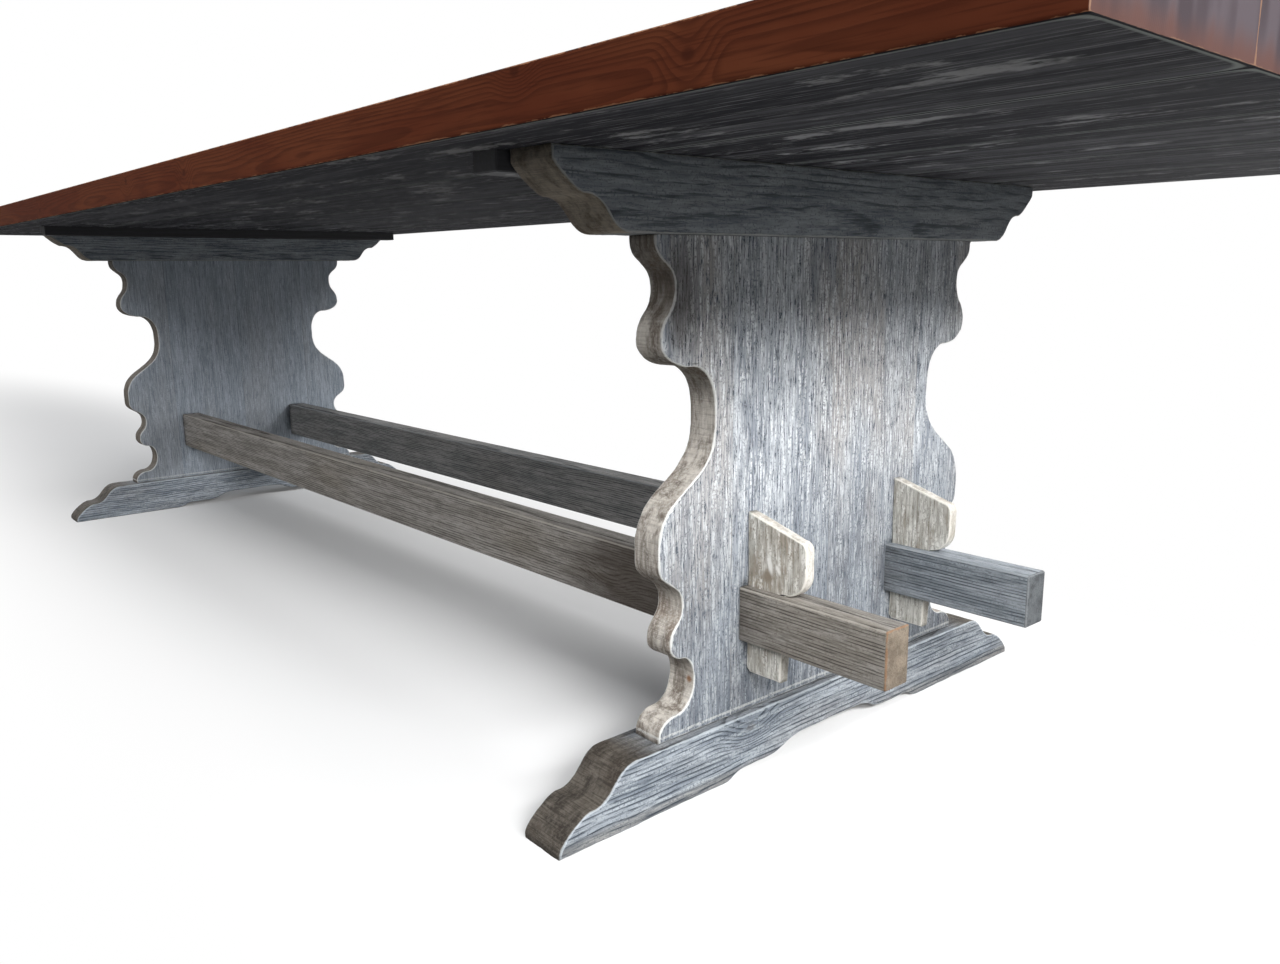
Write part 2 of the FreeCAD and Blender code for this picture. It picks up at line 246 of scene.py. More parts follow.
def makePiece(name, patches, grainAxes, pith, body, node, material):
    # welds the patches into one closed mesh, with its grain, its distance from worn edges and its sawn sides
    points, edges, sawns, quads, base = [], [], [], [], 0
    for grid, edge, sawn, keep in patches:
        m, n = grid.shape[:2]
        index = np.arange(m * n).reshape(m, n) + base
        cell = np.stack([index[:-1, :-1], index[1:, :-1], index[1:, 1:], index[:-1, 1:]], -1)
        quads.append(cell.reshape(-1, 4) if keep is None else cell[keep])
        points.append(grid.reshape(-1, 3))
        edges.append(np.asarray(edge).reshape(-1))
        sawns.append(np.asarray(sawn).reshape(-1))
        base += m * n
    points, edges, sawns = np.concatenate(points), np.concatenate(edges), np.concatenate(sawns)
    key = np.round(points / weld["step"] + weld["shift"]).astype(np.int64)
    _, first, where = np.unique(key, axis=0, return_index=True, return_inverse=True)
    quads = where.reshape(-1)[np.concatenate(quads)]
    used = np.unique(quads)
    renumber = np.zeros(len(first), np.int64)
    renumber[used] = np.arange(len(used))
    quads = renumber[quads]
    points, edges, sawns = (values[first][used] for values in (points, edges, sawns))

    mesh = bpy.data.meshes.new(name)
    mesh.vertices.add(len(points))
    mesh.vertices.foreach_set("co", points.astype(np.float32).ravel())
    mesh.loops.add(quads.size)
    mesh.loops.foreach_set("vertex_index", quads.astype(np.int32).ravel())
    mesh.polygons.add(len(quads))
    mesh.polygons.foreach_set("loop_start", np.arange(0, quads.size, 4, dtype=np.int32))
    mesh.update(calc_edges=True)
    mesh.polygons.foreach_set("use_smooth", np.ones(len(quads), bool))
    centre = (points.min(0) + points.max(0)) / 2
    grain = (points - centre)[:, grainAxes] + np.array(pith)
    for label, kind, entry, values in (("grain", "FLOAT_VECTOR", "vector", grain),
                                       ("edge", "FLOAT", "value", edges), ("sawn", "FLOAT", "value", sawns)):
        attribute = mesh.attributes.new(label, kind, "POINT")
        attribute.data.foreach_set(entry, values.astype(np.float32).ravel())
    shell = bmesh.new()
    shell.from_mesh(mesh)
    bmesh.ops.recalc_face_normals(shell, faces=shell.faces)
    shell.to_mesh(mesh)
    shell.free()

    piece = bpy.data.objects.new(name, mesh)
    bpy.context.scene.collection.objects.link(piece)
    mesh.materials.append(material)
    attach(piece, body)
    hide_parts(node)
    return piece


def readPiece(add):
    # what a wood finish reads: the place in the log, the distance from a worn arris, the share of sawn side,
    # the place on the table, and that place's three parts
    marks = [add("Attribute", {"attribute_name": name}).outputs[kind]
             for name, kind in (("grain", "Vector"), ("edge", "Fac"), ("sawn", "Fac"))]
    place = add("TexCoord").outputs["Object"]
    return *marks, place, add("SeparateXYZ", None, [place]).outputs


def surface(add, colour, rough, height, look, metallic=0.0):
    # what every finish ends with: its colour and roughness, and its height as bumps
    bump = add("Bump", None, {"Strength": look["bump"], "Distance": look["relief"], "Height": height})
    shader = add("BsdfPrincipled", None, {
        "Base Color": colour, "Roughness": rough, "Normal": bump, "Metallic": metallic,
        "Specular IOR Level": look["gloss"]})
    add("OutputMaterial", None, {"Surface": shader})


growth = {"wander": {"Scale": 1.0, "Detail": 3.0, "Roughness": 0.5}, "scatter": 0.85,
          "swellReach": 0.42, "lateFull": 0.88, "lateEnd": 0.9, "coreFull": 0.03}


def growthRings(add, grain, look):
    # the log's rings as the board cuts them: distance from the pith, plus a slow wander and a swell round
    # each knot, counted in ring widths; gives the dark late wood and the knots
    slow = add("Mapping", None, {"Vector": grain, "Scale": look["wanderScale"]})
    wander = add("TexNoise", None, {"Vector": slow, **growth["wander"]})
    flat = add("Mapping", None, {"Vector": grain, "Scale": (1, 1, 0)})
    fromPith = add("VectorMath", length, [flat])
    cells = add("Mapping", None, {"Vector": grain, "Scale": look["knotScale"]})
    toKnot = add("TexVoronoi", None, {"Vector": cells, "Scale": 1.0, "Randomness": growth["scatter"]})
    for spot in look["knotAt"]:
        offset = add("VectorMath", {"operation": "SUBTRACT"}, [grain, spot])
        scaled = add("VectorMath", times, [offset, look["knotReach"]])
        away = add("VectorMath", length, [scaled])
        toKnot = add("Math", {"operation": "MINIMUM"}, [toKnot, away])
    swell = add("MapRange", {"interpolation_type": "SMOOTHERSTEP"}, [
        toKnot, 0.0, growth["swellReach"], look["knotSwell"], 0.0])
    moved = add("Math", timesPlus, [wander, look["wanderReach"], fromPith])
    swollen = add("Math", {"operation": "ADD"}, [moved, swell])
    counted = add("Math", {"operation": "DIVIDE"}, [swollen, look["ringWidth"]])
    part = add("Math", {"operation": "FRACT"}, [counted])
    late = add("MapRange", smooth, [part, look["ringEdge"], growth["lateFull"]])
    drop = add("MapRange", smooth, [part, growth["lateEnd"], 1.0, 1.0, 0.0])
    ring = add("Math", times, [late, drop])
    core = add("MapRange", smooth, [toKnot, growth["coreFull"], look["knotSize"], 1.0, 0.0])
    return ring, core


def stretchedMark(add, source, scale, detail, roughness, start, full, most=1.0, shift=(0, 0, 0)):
    # noise drawn out one way, and the mark it leaves: none below one level of it, the most above another
    stretched = add("Mapping", None, {"Vector": source, "Scale": scale, "Location": shift})
    noise = add("TexNoise", None, {
        "Vector": stretched, "Scale": 1.0, "Detail": detail, "Roughness": roughness})
    mark = add("MapRange", smooth, [noise, start, full, 0.0, most])
    return noise, mark


# pores are under 1 mm wide in the wood and drawn at 2 mm, and grit under 1 mm is drawn at 3 mm, so that they
# show two steps away; brush strokes are 3 to 4 mm wide, and saw marks come every 2 mm or so
brushwork = {
    # detail and roughness of the noise, and the levels where the mark starts and is full; the other levels
    # are followed by what is given at each, where that isn't 0 and 1
    "pore": (2.0, 0.6, 0.47, 0.66), "stroke": (3.0, 0.65, 0.44, 0.62), "streak": (3.0, 0.55, 0.36, 0.64),
    "cloud": (3.0, 0.6, 0.46, 0.68), "saw": (3.0, 0.7, 0.42, 0.64), "mottle": (5.0, 0.68, 0.36, 0.62),
    "grit": {"Scale": 330.0, "Detail": 2.0, "Roughness": 0.6},
    "patch": {"Scale": 13.0, "Detail": 3.0, "Roughness": 0.6},
    "scuff": {"Scale": 60.0, "Detail": 5.0, "Roughness": 0.7},
    "gritLevel": (0.34, 0.57),
    "speckleLevel": (0.45, 0.32),
    "brownLevel": (0.5, 0.66, 0.0, 0.75),
    "ringLevel": (0.44, 0.58), "ringKept": 0.2,
    "sideLevel": (0.35, 0.9),
    "sideSpeck": (0.0, 1.0, 0.05, 0.5),
    "spotLevel": (0.85, 1.6),
    "scuffLevel": (0.38, 0.68), "leastWear": 0.3,
    "wearLevel": (0.45, 1.0),
    "lineHalf": 1.6 * mm, "lineDepth": (0.0, 1.0, 0.15, 0.6),
}


def washedPine(name, look):
    # wire-brushed pine under a thin wash: pale dry-brushed strokes and dark broken pores along the grain,
    # thin lines of late wood, chalky scuffed arrises, and browner sides with faint saw marks
    material, add = newMaterial(name)
    grain, edge, sawn, place, axes = readPiece(add)
    ring, core = growthRings(add, grain, look)
    noise, mark = {}, {}
    for key, source, most in (("pore", grain, look["poreDepth"]), ("stroke", grain, look["strokeDepth"]),
                              ("streak", grain, 1.0), ("cloud", grain, look["warmth"]),
                              ("saw", place, 1.0), ("mottle", grain, 1.0)):
        shift = look["mottleStart"] if key == "mottle" else (0, 0, 0)
        noise[key], mark[key] = stretchedMark(add, source, look[key + "Scale"], *brushwork[key], most, shift)
    for key in ("grit", "patch", "scuff"):
        noise[key] = add("TexNoise", None, {"Vector": place, **brushwork[key]})

    # grit breaks every pore and stroke
    grit = add("MapRange", smooth, [noise["grit"], *brushwork["gritLevel"]])
    speckle = add("MapRange", smooth, [noise["grit"], *brushwork["speckleLevel"], 0.0, look["speckle"]])
    pore = add("Math", times, [mark["pore"], grit])
    pore = add("Math", larger, [pore, speckle])
    stroke = add("Math", times, [mark["stroke"], grit])

    # painted shade: on the trestle at +X the wash darkens towards the floor, from shadeTop down to
    # shadeFloor; on the slab this stands in for the light falling off lower down
    shadedLow = add("MapRange", smooth, [axes["Z"], look["shadeTop"], look["shadeFloor"], 0.0, look["shadeDepth"]])
    onNearTrestle = add("Math", {"operation": "GREATER_THAN"}, [axes["X"], 0.0])
    shadedLow = add("Math", times, [shadedLow, onNearTrestle])

    ringBroken = add("MapRange", None, [noise["stroke"], *brushwork["ringLevel"], look["ringDepth"],
                                        brushwork["ringKept"] * look["ringDepth"]])
    ring = add("Math", times, [ring, ringBroken])
    core = add("Math", times, [core, look["knotDepth"]])
    coat = tone(look["slate"])
    for how, share, colour in ((cover, mark["streak"], "pale"), (cover, mark["cloud"], "beige"),
                               (cover, stroke, "chalk"), (glaze, shadedLow, "soil"), (cover, ring, "lateWood"),
                               (cover, pore, "fibre"), (cover, core, "knot")):
        coat = add("Mix", how, {0: share, 6: coat, 7: tone(look[colour])})

    # the sides are brushed along the grain, grey over brown, and faint saw marks run across them
    brown = add("MapRange", smooth, [noise["patch"], *brushwork["brownLevel"]])
    sawShare = add("Math", times, [mark["saw"], look["sawDepth"]])
    speck = add("MapRange", None, [stroke, *brushwork["sideSpeck"]])
    side = tone(look["sideDark"])
    for share, colour in ((mark["mottle"], "sidePale"), (brown, "sideBrown"), (sawShare, "sawLine"),
                          (speck, "sideChalk")):
        side = add("Mix", cover, {0: share, 6: side, 7: tone(look[colour])})
    isSide = add("MapRange", smooth, [sawn, *brushwork["sideLevel"]])
    coat = add("Mix", cover, {0: isSide, 6: coat, 7: side})
    for spot, lean, size, colour, share in look["spots"]:  # an uneven ellipse: a knot, a scrape or a stain, or painted shade where a slab or the top shades a part
        within = add("Mapping", {"vector_type": "TEXTURE"}, {
            "Vector": place, "Location": spot, "Rotation": (0, lean, 0), "Scale": size})
        toSpot = add("VectorMath", length, [within])
        wavy = add("Math", {"operation": "ADD"}, [noise["mottle"], toSpot])
        bare = add("MapRange", smooth, [wavy, *brushwork["spotLevel"], share, 0.0])
        coat = add("Mix", cover, {0: bare, 6: coat, 7: tone(colour)})
    # painted cool light: between the slabs the rail is multiplied by railShadeTint, so on the back stretcher
    # the tenons outside the slabs stay bluer than its rail in the shade
    railInShade = add("Math", {"operation": "COMPARE"}, [axes["X"], 0.0, look["railHalf"]])
    coat = add("Mix", glaze, {0: railInShade, 6: coat, 7: tone(look["railShadeTint"])})  # between the slabs

    # wear starts at the arris and gives out a few millimetres in, further where the hand or foot rubs, and
    # chalk stays in a line where the slab stands on the foot
    reach = add("MapRange", None, [noise["scuff"], *brushwork["scuffLevel"],
                                   brushwork["leastWear"] * look["wornWidth"], look["wornWidth"]])
    ratio = add("Math", {"operation": "DIVIDE"}, [edge, reach])
    wornOff = add("MapRange", smooth, [ratio, *brushwork["wearLevel"], look["wornDepth"], 0.0])
    bareEdge = add("Mix", cover, {0: isSide, 6: tone(look["worn"]), 7: tone(look["wornSide"])})
    atLine = add("Math", {"operation": "COMPARE"}, [axes["Z"], look["chalkLine"], brushwork["lineHalf"]])
    lineShare = add("MapRange", None, [grit, *brushwork["lineDepth"]])
    lineShare = add("Math", times, [atLine, lineShare])
    for share, colour in ((wornOff, bareEdge), (lineShare, tone(look["worn"]))):
        coat = add("Mix", cover, {0: share, 6: coat, 7: colour})

    rough = add("MapRange", None, [pore, 0.0, 1.0, look["roughLow"], look["roughHigh"]])
    brushed = add("Math", {"operation": "SUBTRACT"}, [stroke, pore])
    cut = add("Math", times, [mark["saw"], isSide])
    raised = add("Math", {"operation": "SUBTRACT"}, [brushed, cut])
    surface(add, coat, rough, raised, look)
    return material


greyWash = {
    "ringWidth": 5.0 * mm, "ringEdge": 0.5, "wanderScale": (9, 9, 1.6), "wanderReach": 22 * mm,
    "knotScale": (4, 4, 1.6), "knotAt": [], "knotReach": (9, 9, 4), "knotSwell": 14 * mm, "knotSize": 0.06,
    "knot": "#6d6258", "knotDepth": 0.3,
    "poreScale": (430, 430, 48), "poreDepth": 1.0, "fibre": "#535a64", "speckle": 0.45,
    "strokeScale": (280, 280, 18), "strokeDepth": 0.95, "chalk": "#f1f4f6",
    "streakScale": (60, 60, 6), "slate": "#9da3ac", "pale": "#cbd0d6",
    "cloudScale": (8, 8, 2.4), "beige": "#bdb4ac", "warmth": 0.6, "ringDepth": 0.4, "lateWood": "#7b818a",
    # painted shade: the near slab darkens from 0.44 m down to 0.2 m, where less light reaches it
    "shadeTop": 0.44, "shadeFloor": 0.2, "soil": "#c3c6c9", "shadeDepth": 1.0,
    "sideDark": "#6f655b", "sidePale": "#cfc9c0", "sideBrown": "#86776a", "sawLine": "#544b42",
    "sideChalk": "#dfdad2", "mottleScale": (55, 55, 13), "mottleStart": (0, 0, 2.3),
    "sawScale": (15, 360, 360), "sawDepth": 0.3, "chalkLine": 85 * mm,
    "railHalf": 991 * mm, "railShadeTint": "#ffffff",
    # a small knot on the front side, then painted shade on the upper front side of the near slab, where the
    # top's overhang shades it
    "spots": [((1.026, -0.241, 0.141), 0, (6 * mm, 6 * mm, 6 * mm), "#8a6242", 0.9),
              ((1.034, -0.262, 0.585), 0, (45 * mm, 34 * mm, 90 * mm), "#574b41", 0.6)],
    "worn": "#e2e3e0", "wornSide": "#dddcd7", "wornWidth": 3.0 * mm, "wornDepth": 0.85,
    "roughLow": 0.72, "roughHigh": 0.92, "bump": 0.6, "relief": 0.5 * mm, "gloss": 0.2,
}
footWash = dict(
    greyWash, ringWidth=5.4 * mm, ringEdge=0.42, ringDepth=1.0, lateWood="#343c45", slate="#868f99",
    pale="#aeb6bf", chalk="#d0d7dc", strokeDepth=0.6, poreDepth=0.6, fibre="#4f565f", wanderScale=(11, 11, 4),
    # the same darkening, on the near foot only, makes a greyer band along its bottom
    wanderReach=20 * mm, warmth=0.25, shadeTop=20 * mm, shadeFloor=9 * mm, soil="#dcd5cd",
    knotAt=[(0.063, 0.1415, 7.845)], knotReach=(6, 10, 6), chalkLine=-1, sideDark="#312c27",
    sidePale="#635d55", sideBrown="#3e362f", sawLine="#28231e", sideChalk="#77716a", sawScale=(20, 420, 420),
    sawDepth=0.75, worn="#c3cacf", wornSide="#a9aaa8", wornDepth=0.6, spots=[])
# painted light and shade: the far trestle's copies of the near finishes; the slab's is bluer, with duller
# strokes and darker sides, for the shade under the top
farSlabShadeWash = dict(
    greyWash, slate="#9aa4af", pale="#b1bac5", chalk="#cfd6de", beige="#a8a9ab", strokeDepth=0.6,
    fibre="#666e79", poreDepth=0.6, speckle=0.2, warmth=0.4, sideDark="#4d463f", sidePale="#80786e",
    sideBrown="#5c5148", sawLine="#3c362f", sideChalk="#918a80", wornSide="#b4b6b5", spots=[])
# painted light: the far foot is lighter and bluer than the near foot
farFootLightWash = dict(footWash, slate="#98a2ad", pale="#c2cbd5", chalk="#dfe5ea", lateWood="#454d57")
bearerWash = dict(
    footWash, shadeDepth=0.0, slate="#848b93", pale="#aab1b8", chalk="#c0c6cb", lateWood="#474d54",
    ringDepth=0.8, fibre="#444a51", beige="#98938c", knotAt=[], sideDark="#776c5e", sidePale="#cabfaf",
    sideBrown="#84756a", sawLine="#554c42", sideChalk="#d4cabb", sawDepth=0.4, worn="#c3c5c3",
    wornWidth=2.4 * mm, wornDepth=0.85)
driftWash = dict(
    greyWash, ringWidth=3.7 * mm, ringEdge=0.42, ringDepth=1.0, lateWood="#3b3733", slate="#807c77",
    pale="#9e9a95", beige="#878075", chalk="#b2aea8", strokeDepth=0.45, fibre="#4b4742", poreDepth=0.5,
    speckle=0.2, wanderScale=(9, 9, 1.2), wanderReach=14 * mm, knot="#3a332c", shadeDepth=0.0, chalkLine=-1,
    knotAt=[(-0.0365, 0.09, 1.09)], knotReach=(6, 9, 5), strokeScale=(260, 260, 14),
    sideDark="#6c6155", sidePale="#908475", sideBrown="#84664e", sawLine="#60564a", sideChalk="#9c9182",
    worn="#aba69d", wornSide="#8f6a4d", wornWidth=1.6 * mm, wornDepth=0.65, relief=0.6 * mm,
    # painted shade, partly browner wood: the front rail darkens towards the near slab, where the slab shades
    # it
    spots=[((0.88, -0.1665, 0.19), 0, (210 * mm, 12 * mm, 110 * mm), "#362c24", 0.75)])
duskWash = dict(
    driftWash, ringWidth=3.9 * mm, lateWood="#343a41", slate="#7b8288", pale="#989ea4", beige="#84878a",
    chalk="#abb1b6", fibre="#40454b", sideDark="#4b4e51", sidePale="#6a6e71", sideBrown="#545351",
    # painted cool light: the back rail is warmed between the slabs, its tenons left bluer
    sawLine="#454749", sideChalk="#75787a", worn="#9da1a4", wornSide="#84888b", knotAt=[], railShadeTint="#f6ece2",
    # painted shade, partly browner wood: the back rail darkens towards the near slab, where the slab shades
    # it
    spots=[((0.86, 0.1235, 0.2), 0, (230 * mm, 12 * mm, 110 * mm), "#332e29", 0.6)])
creamWash = dict(
    greyWash, ringWidth=6.0 * mm, ringDepth=0.5, lateWood="#918b80", slate="#b8b5ac", pale="#d8d6ce",
    beige="#a09586", chalk="#f0eee8", strokeScale=(140, 140, 22), strokeDepth=0.9, fibre="#787166",
    poreDepth=0.7, streakScale=(90, 90, 12), warmth=0.9, cloudScale=(30, 30, 14), shadeDepth=0.0, chalkLine=-1,
    speckle=0.3,
    sideDark="#aaa294", sidePale="#e8e5de", sideBrown="#a3937d", sawLine="#8b8272", sideChalk="#f5f3ee",
    worn="#e9e6dd", wornSide="#e6e2d8", wornWidth=3.6 * mm, wornDepth=0.8,
    spots=[((1.066, -0.1525, 0.256), 0, (11 * mm, 6 * mm, 10 * mm), "#8d8172", 0.9),
           ((1.070, -0.1525, 0.271), -0.26, (5 * mm, 6 * mm, 15 * mm), "#f4f2ed", 0.9),
           ((1.083, -0.1525, 0.267), -0.5, (4 * mm, 6 * mm, 9 * mm), "#f4f2ed", 0.9)])
washes = {name: washedPine(name, look) for name, look in {
    "grey washed pine": greyWash, "grey washed pine feet": footWash, "slate washed pine": bearerWash,
    "blue washed pine": farSlabShadeWash, "blue washed pine feet": farFootLightWash,
    "driftwood washed pine": driftWash, "dusk washed pine": duskWash, "cream washed pine": creamWash}.items()}


stain = {
    "ringWidth": 2.2 * mm, "ringEdge": 0.3, "wanderScale": (7, 7, 1.4), "wanderReach": 20 * mm,
    "knotScale": (3.6, 3.6, 1.2), "knotSwell": 7 * mm, "knotSize": 0.08, "knotReach": (9, 13, 9),
    "knotAt": [(-0.035, 0.012, 1.62), (-0.035, 0.03, 1.42), (-0.035, 0.012, 0.61), (-0.035, 0.02, 0.33),
               (-0.035, 0.004, -0.29)],
    "early": "#613421", "late": "#34170e", "red": "#542819", "knot": "#391a10",
    "ringDepth": 0.45, "knotDepth": 0.7,
    # the end grain's mauve is partly painted sheen, the pale reflection that a glossy end shows
    "bare": "#a9795a", "capBare": "#c49a80", "capSheenDark": "#675d62", "capPale": "#7e747a", "capRed": "#875f53",
    # grey and fleck are painted sheen and glints on the black underside
    "black": "#222226", "grey": "#6b6b70", "fleck": "#d5d6d9", "rim": "#c2c9c6",
    # scale, detail and roughness of the noise, the levels where the mark starts and is full, and its most
    "strand": ((420, 420, 14), 3.0, 0.6, 0.48, 0.7, 0.5), "cloud": ((14, 14, 4), 4.0, 0.5, 0.4, 0.64, 0.85),
    "board": ((0.7, 0.7, 0.6), 1.0, 0.5, 0.36, 0.62, 0.5), "drip": ((1, 45, 9), 1.5, 0.5, 0.36, 0.62),
    "rub": ((26, 26, 1.1), 5.0, 0.7, 0.45, 0.64), "glintFlake": ((22, 22, 7), 6.0, 0.7, 0.55, 0.64, 0.85),
    "scuff": {"Scale": 45.0, "Detail": 4.0, "Roughness": 0.65},
    # the upper face
    "face": {"ringWidth": 9 * mm, "ringEdge": 0.2, "wanderScale": (2.5, 2.5, 0.5), "wanderReach": 70 * mm,
             "knotAt": [], "knotScale": (5.5, 5.5, 4), "knotSize": 0.13, "knotSwell": 14 * mm},
    "faceLevel": (tableTop - 2.2 * mm, tableTop - 0.4 * mm),
    "pithBelow": (0, 0.11, 0), "boardWidth": 210 * mm, "archDepth": 0.6,
    "jointLine": (0.8 * mm, 2.6 * mm, 0.9, 0.0),
    # the end grain
    "dripReach": -30 * mm,
    "lowRim": (tableTop - 62 * mm, tableTop - 40 * mm, 0.75, 0.0),
    "capSkin": (tableEnd - 0.9 * mm, tableEnd - 0.3 * mm),
    # the arrises
    "rubReach": (0.46, 0.72, 0.05 * mm, 1.7 * mm),
    "capReach": 0.6 * mm, "rubLevel": (0.4, 1.0, 0.75, 0.0),
    # the painted underside, with its painted sheen and glints
    "paintedArris": (0.8 * mm, 2.5 * mm),
    "glintHair": (0.55, 0.7, 0.0, 0.55),
    "rimBand": (2.2 * mm, 5.0 * mm, 0.8, 0.0),
    "rimStart": (0.7 * mm, 1.4 * mm),
    "raggedness": 0.5, "paintLevel": (0.95, 1.05),
    "rough": (0.0, 1.0, 0.85, 0.5), "bump": 0.5, "relief": 0.25 * mm, "gloss": 0.05,
}


def stainedPine(look):
    # pine stained red-brown and rubbed to a low satin: dark late wood in arches, darker knots, a hazy mauve
    # on the end grain that is partly painted sheen;
    # the underside is rough, painted black and streaked grey and silvery along the grain in painted sheen and
    # glints
    material, add = newMaterial("stained pine")
    grain, edge, under, place, axes = readPiece(add)
    noise, mark = {}, {}
    for key in ("strand", "cloud", "board", "drip", "rub", "glintFlake"):
        source = place if key == "drip" else grain
        noise[key], mark[key] = stretchedMark(add, source, *look[key])
    scuff = add("TexNoise", None, {"Vector": place, **look["scuff"]})

    ring, core = growthRings(add, grain, look)
    ring = add("Math", times, [ring, look["ringDepth"]])
    core = add("Math", times, [core, look["knotDepth"]])
    wood = tone(look["early"])
    for share, colour in ((mark["cloud"], "red"), (ring, "late"), (mark["strand"], "late"), (core, "knot")):
        wood = add("Mix", cover, {0: share, 6: wood, 7: tone(look[colour])})

    # the upper face: flat-sawn arches some 10 to 30 mm apart, knots, boards of different tone and dark joints
    onFace = add("MapRange", None, [axes["Z"], *look["faceLevel"]])
    deeper = add("Mapping", None, {"Vector": grain, "Location": look["pithBelow"]})
    arch, faceKnot = growthRings(add, deeper, dict(look, **look["face"]))
    arch = add("Math", times, [arch, look["archDepth"]])
    across = add("Math", {"operation": "ADD"}, [axes["Y"], tableSide])
    toJoint = add("Math", {"operation": "PINGPONG"}, [across, look["boardWidth"] / 2])
    jointLine = add("MapRange", smooth, [toJoint, *look["jointLine"]])
    for share, colour in ((mark["board"], "red"), (arch, "late"), (faceKnot, "knot"), (jointLine, "late")):
        share = add("Math", times, [share, onFace])
        wood = add("Mix", cover, {0: share, 6: wood, 7: tone(look[colour])})

    # end grain: drips down its height under a mauve haze that is partly painted sheen, redder towards the
    # lower rim
    uneven = add("Math", timesPlus, [noise["drip"], look["dripReach"], axes["Z"]])
    lowRim = add("MapRange", smooth, [uneven, *look["lowRim"]])
    cap = tone(look["capSheenDark"])
    for share, colour in ((mark["drip"], "capPale"), (lowRim, "capRed")):
        cap = add("Mix", cover, {0: share, 6: cap, 7: tone(look[colour])})
    outX = add("Math", {"operation": "ABSOLUTE"}, [axes["X"]])
    isCap = add("MapRange", None, [outX, *look["capSkin"]])

    # the stain has rubbed through along the arrises in short lengths
    reach = add("MapRange", None, [scuff, *look["rubReach"]])
    reach = add("Math", timesPlus, [isCap, look["capReach"], reach])
    ratio = add("Math", {"operation": "DIVIDE"}, [edge, reach])
    bare = add("MapRange", None, [ratio, *look["rubLevel"]])
    rawWood = add("Mix", cover, {0: isCap, 6: tone(look["bare"]), 7: tone(look["capBare"])})

    # black paint, kept on the arris: long grey streaks and short silvery flecks that are painted sheen and
    # glints, and a pale line along the ends
    inside = add("MapRange", smooth, [edge, *look["paintedArris"]])
    sheenStreaked = add("Math", times, [mark["rub"], inside])
    glintHair = add("MapRange", smooth, [noise["strand"], *look["glintHair"]])
    flecked = add("Math", larger, [mark["glintFlake"], glintHair])
    flecked = add("Math", times, [flecked, inside])
    rim = add("MapRange", smooth, [edge, *look["rimBand"]])
    rimStart = add("MapRange", smooth, [edge, *look["rimStart"]])
    rim = add("Math", times, [rim, rimStart])
    paint = tone(look["black"])
    for share, colour in ((sheenStreaked, "grey"), (flecked, "fleck"), (rim, "rim")):
        paint = add("Mix", cover, {0: share, 6: paint, 7: tone(look[colour])})
    ragged = add("Math", timesPlus, [scuff, look["raggedness"], under])
    isUnder = add("MapRange", None, [ragged, *look["paintLevel"]])

    for share, colour in ((isCap, cap), (bare, rawWood), (isUnder, paint)):
        wood = add("Mix", cover, {0: share, 6: wood, 7: colour})
    rough = add("MapRange", None, [onFace, *look["rough"]])
    lift = add("Math", timesPlus, [noise["rub"], isUnder, ring])
    surface(add, wood, rough, lift, look)
    return material


topFinish = stainedPine(stain)
print("finishes made")


topShape = {"boards": 5, "radius": 2.5 * mm, "jointRadius": 1.2 * mm, "endRadius": 0.85 * mm, "steps": 150,
            "columns": 34, "rows": 13, "seed": 40, "paintLap": 2.2 * mm, "paintFade": 2 * mm,
            "wearStart": 1.0 * mm,
            "pith": [(0.07, 0.012, 0.3), (0.02, -0.09, 1.7), (-0.05, 0.07, 3.1), (0.06, -0.08, 4.3),
                     (-0.07, -0.02, 5.2)]}


def halfCorner(y, z, radius, start, way):
    # half of a rounded corner: an eighth of a circle from an angle given in eighths
    turn = (start + way * np.linspace(0, 1, 4)) * math.pi / 4
    return np.stack([y + radius * np.cos(turn), z + radius * np.sin(turn)], -1)


def roundedBoard(low, high, left, right):
    # a rectangle whose corners are quarter circles, as four sides that meet at the corners' middles
    (yLow, zLow), (yHigh, zHigh) = low, high
    u, v = crowded(topShape["columns"]), crowded(topShape["rows"])
    bottom = np.concatenate([halfCorner(yLow + left, zLow + left, left, 5, 1)[:-1],
                             straight((yLow + left, zLow), (yHigh - right, zLow), u),
                             halfCorner(yHigh - right, zLow + right, right, 6, 1)[1:]])
    rightSide = np.concatenate([halfCorner(yHigh - right, zLow + right, right, 7, 1)[:-1],
                                straight((yHigh, zLow + right), (yHigh, zHigh - right), v),
                                halfCorner(yHigh - right, zHigh - right, right, 0, 1)[1:]])
    leftSide = np.concatenate([halfCorner(yLow + left, zLow + left, left, 5, -1)[:-1],
                               straight((yLow, zLow + left), (yLow, zHigh - left), v),
                               halfCorner(yLow + left, zHigh - left, left, 4, -1)[1:]])
    return bottom, rightSide, bottom * [1, -1] + [0, zLow + zHigh], leftSide


for number in range(1, topShape["boards"] + 1):
    low, high = (np.array(corner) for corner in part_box(f"top_board_{number}"))
    isFirst, isLast = number == 1, number == topShape["boards"]
    sides = roundedBoard(low[1:], high[1:], topShape["radius"] if isFirst else topShape["jointRadius"],
                         topShape["radius"] if isLast else topShape["jointRadius"])
    patches = plate(sides, low[0], high[0], topShape["endRadius"], everyEdge, [2, 0, 1], topShape["steps"],
                    0.0, topShape["seed"] + number)
    rubbedLines = [(low[1], low[2]), (high[1], low[2])]
    rubbedLines += [(low[1], high[2])] * isFirst + [(high[1], high[2])] * isLast
    finished = []
    for grid, edge, _, keep in patches:
        isUnder = np.clip((low[2] + topShape["paintLap"] - grid[..., 2]) / topShape["paintFade"], 0, 1)
        if np.ptp(grid[..., 0]) > 1:  # the long faces, which have arrises of their own
            toLine = nearest(grid[..., 1:], np.array(rubbedLines)) - topShape["wearStart"]
            edge = np.minimum(edge, np.clip(toLine, 0, None))
        finished.append((grid, edge, isUnder, keep))
    makePiece(f"topBoard{number}", finished, [1, 2, 0], topShape["pith"][number - 1], "top",
              f"top_board_{number}", topFinish)
print("top boards made")


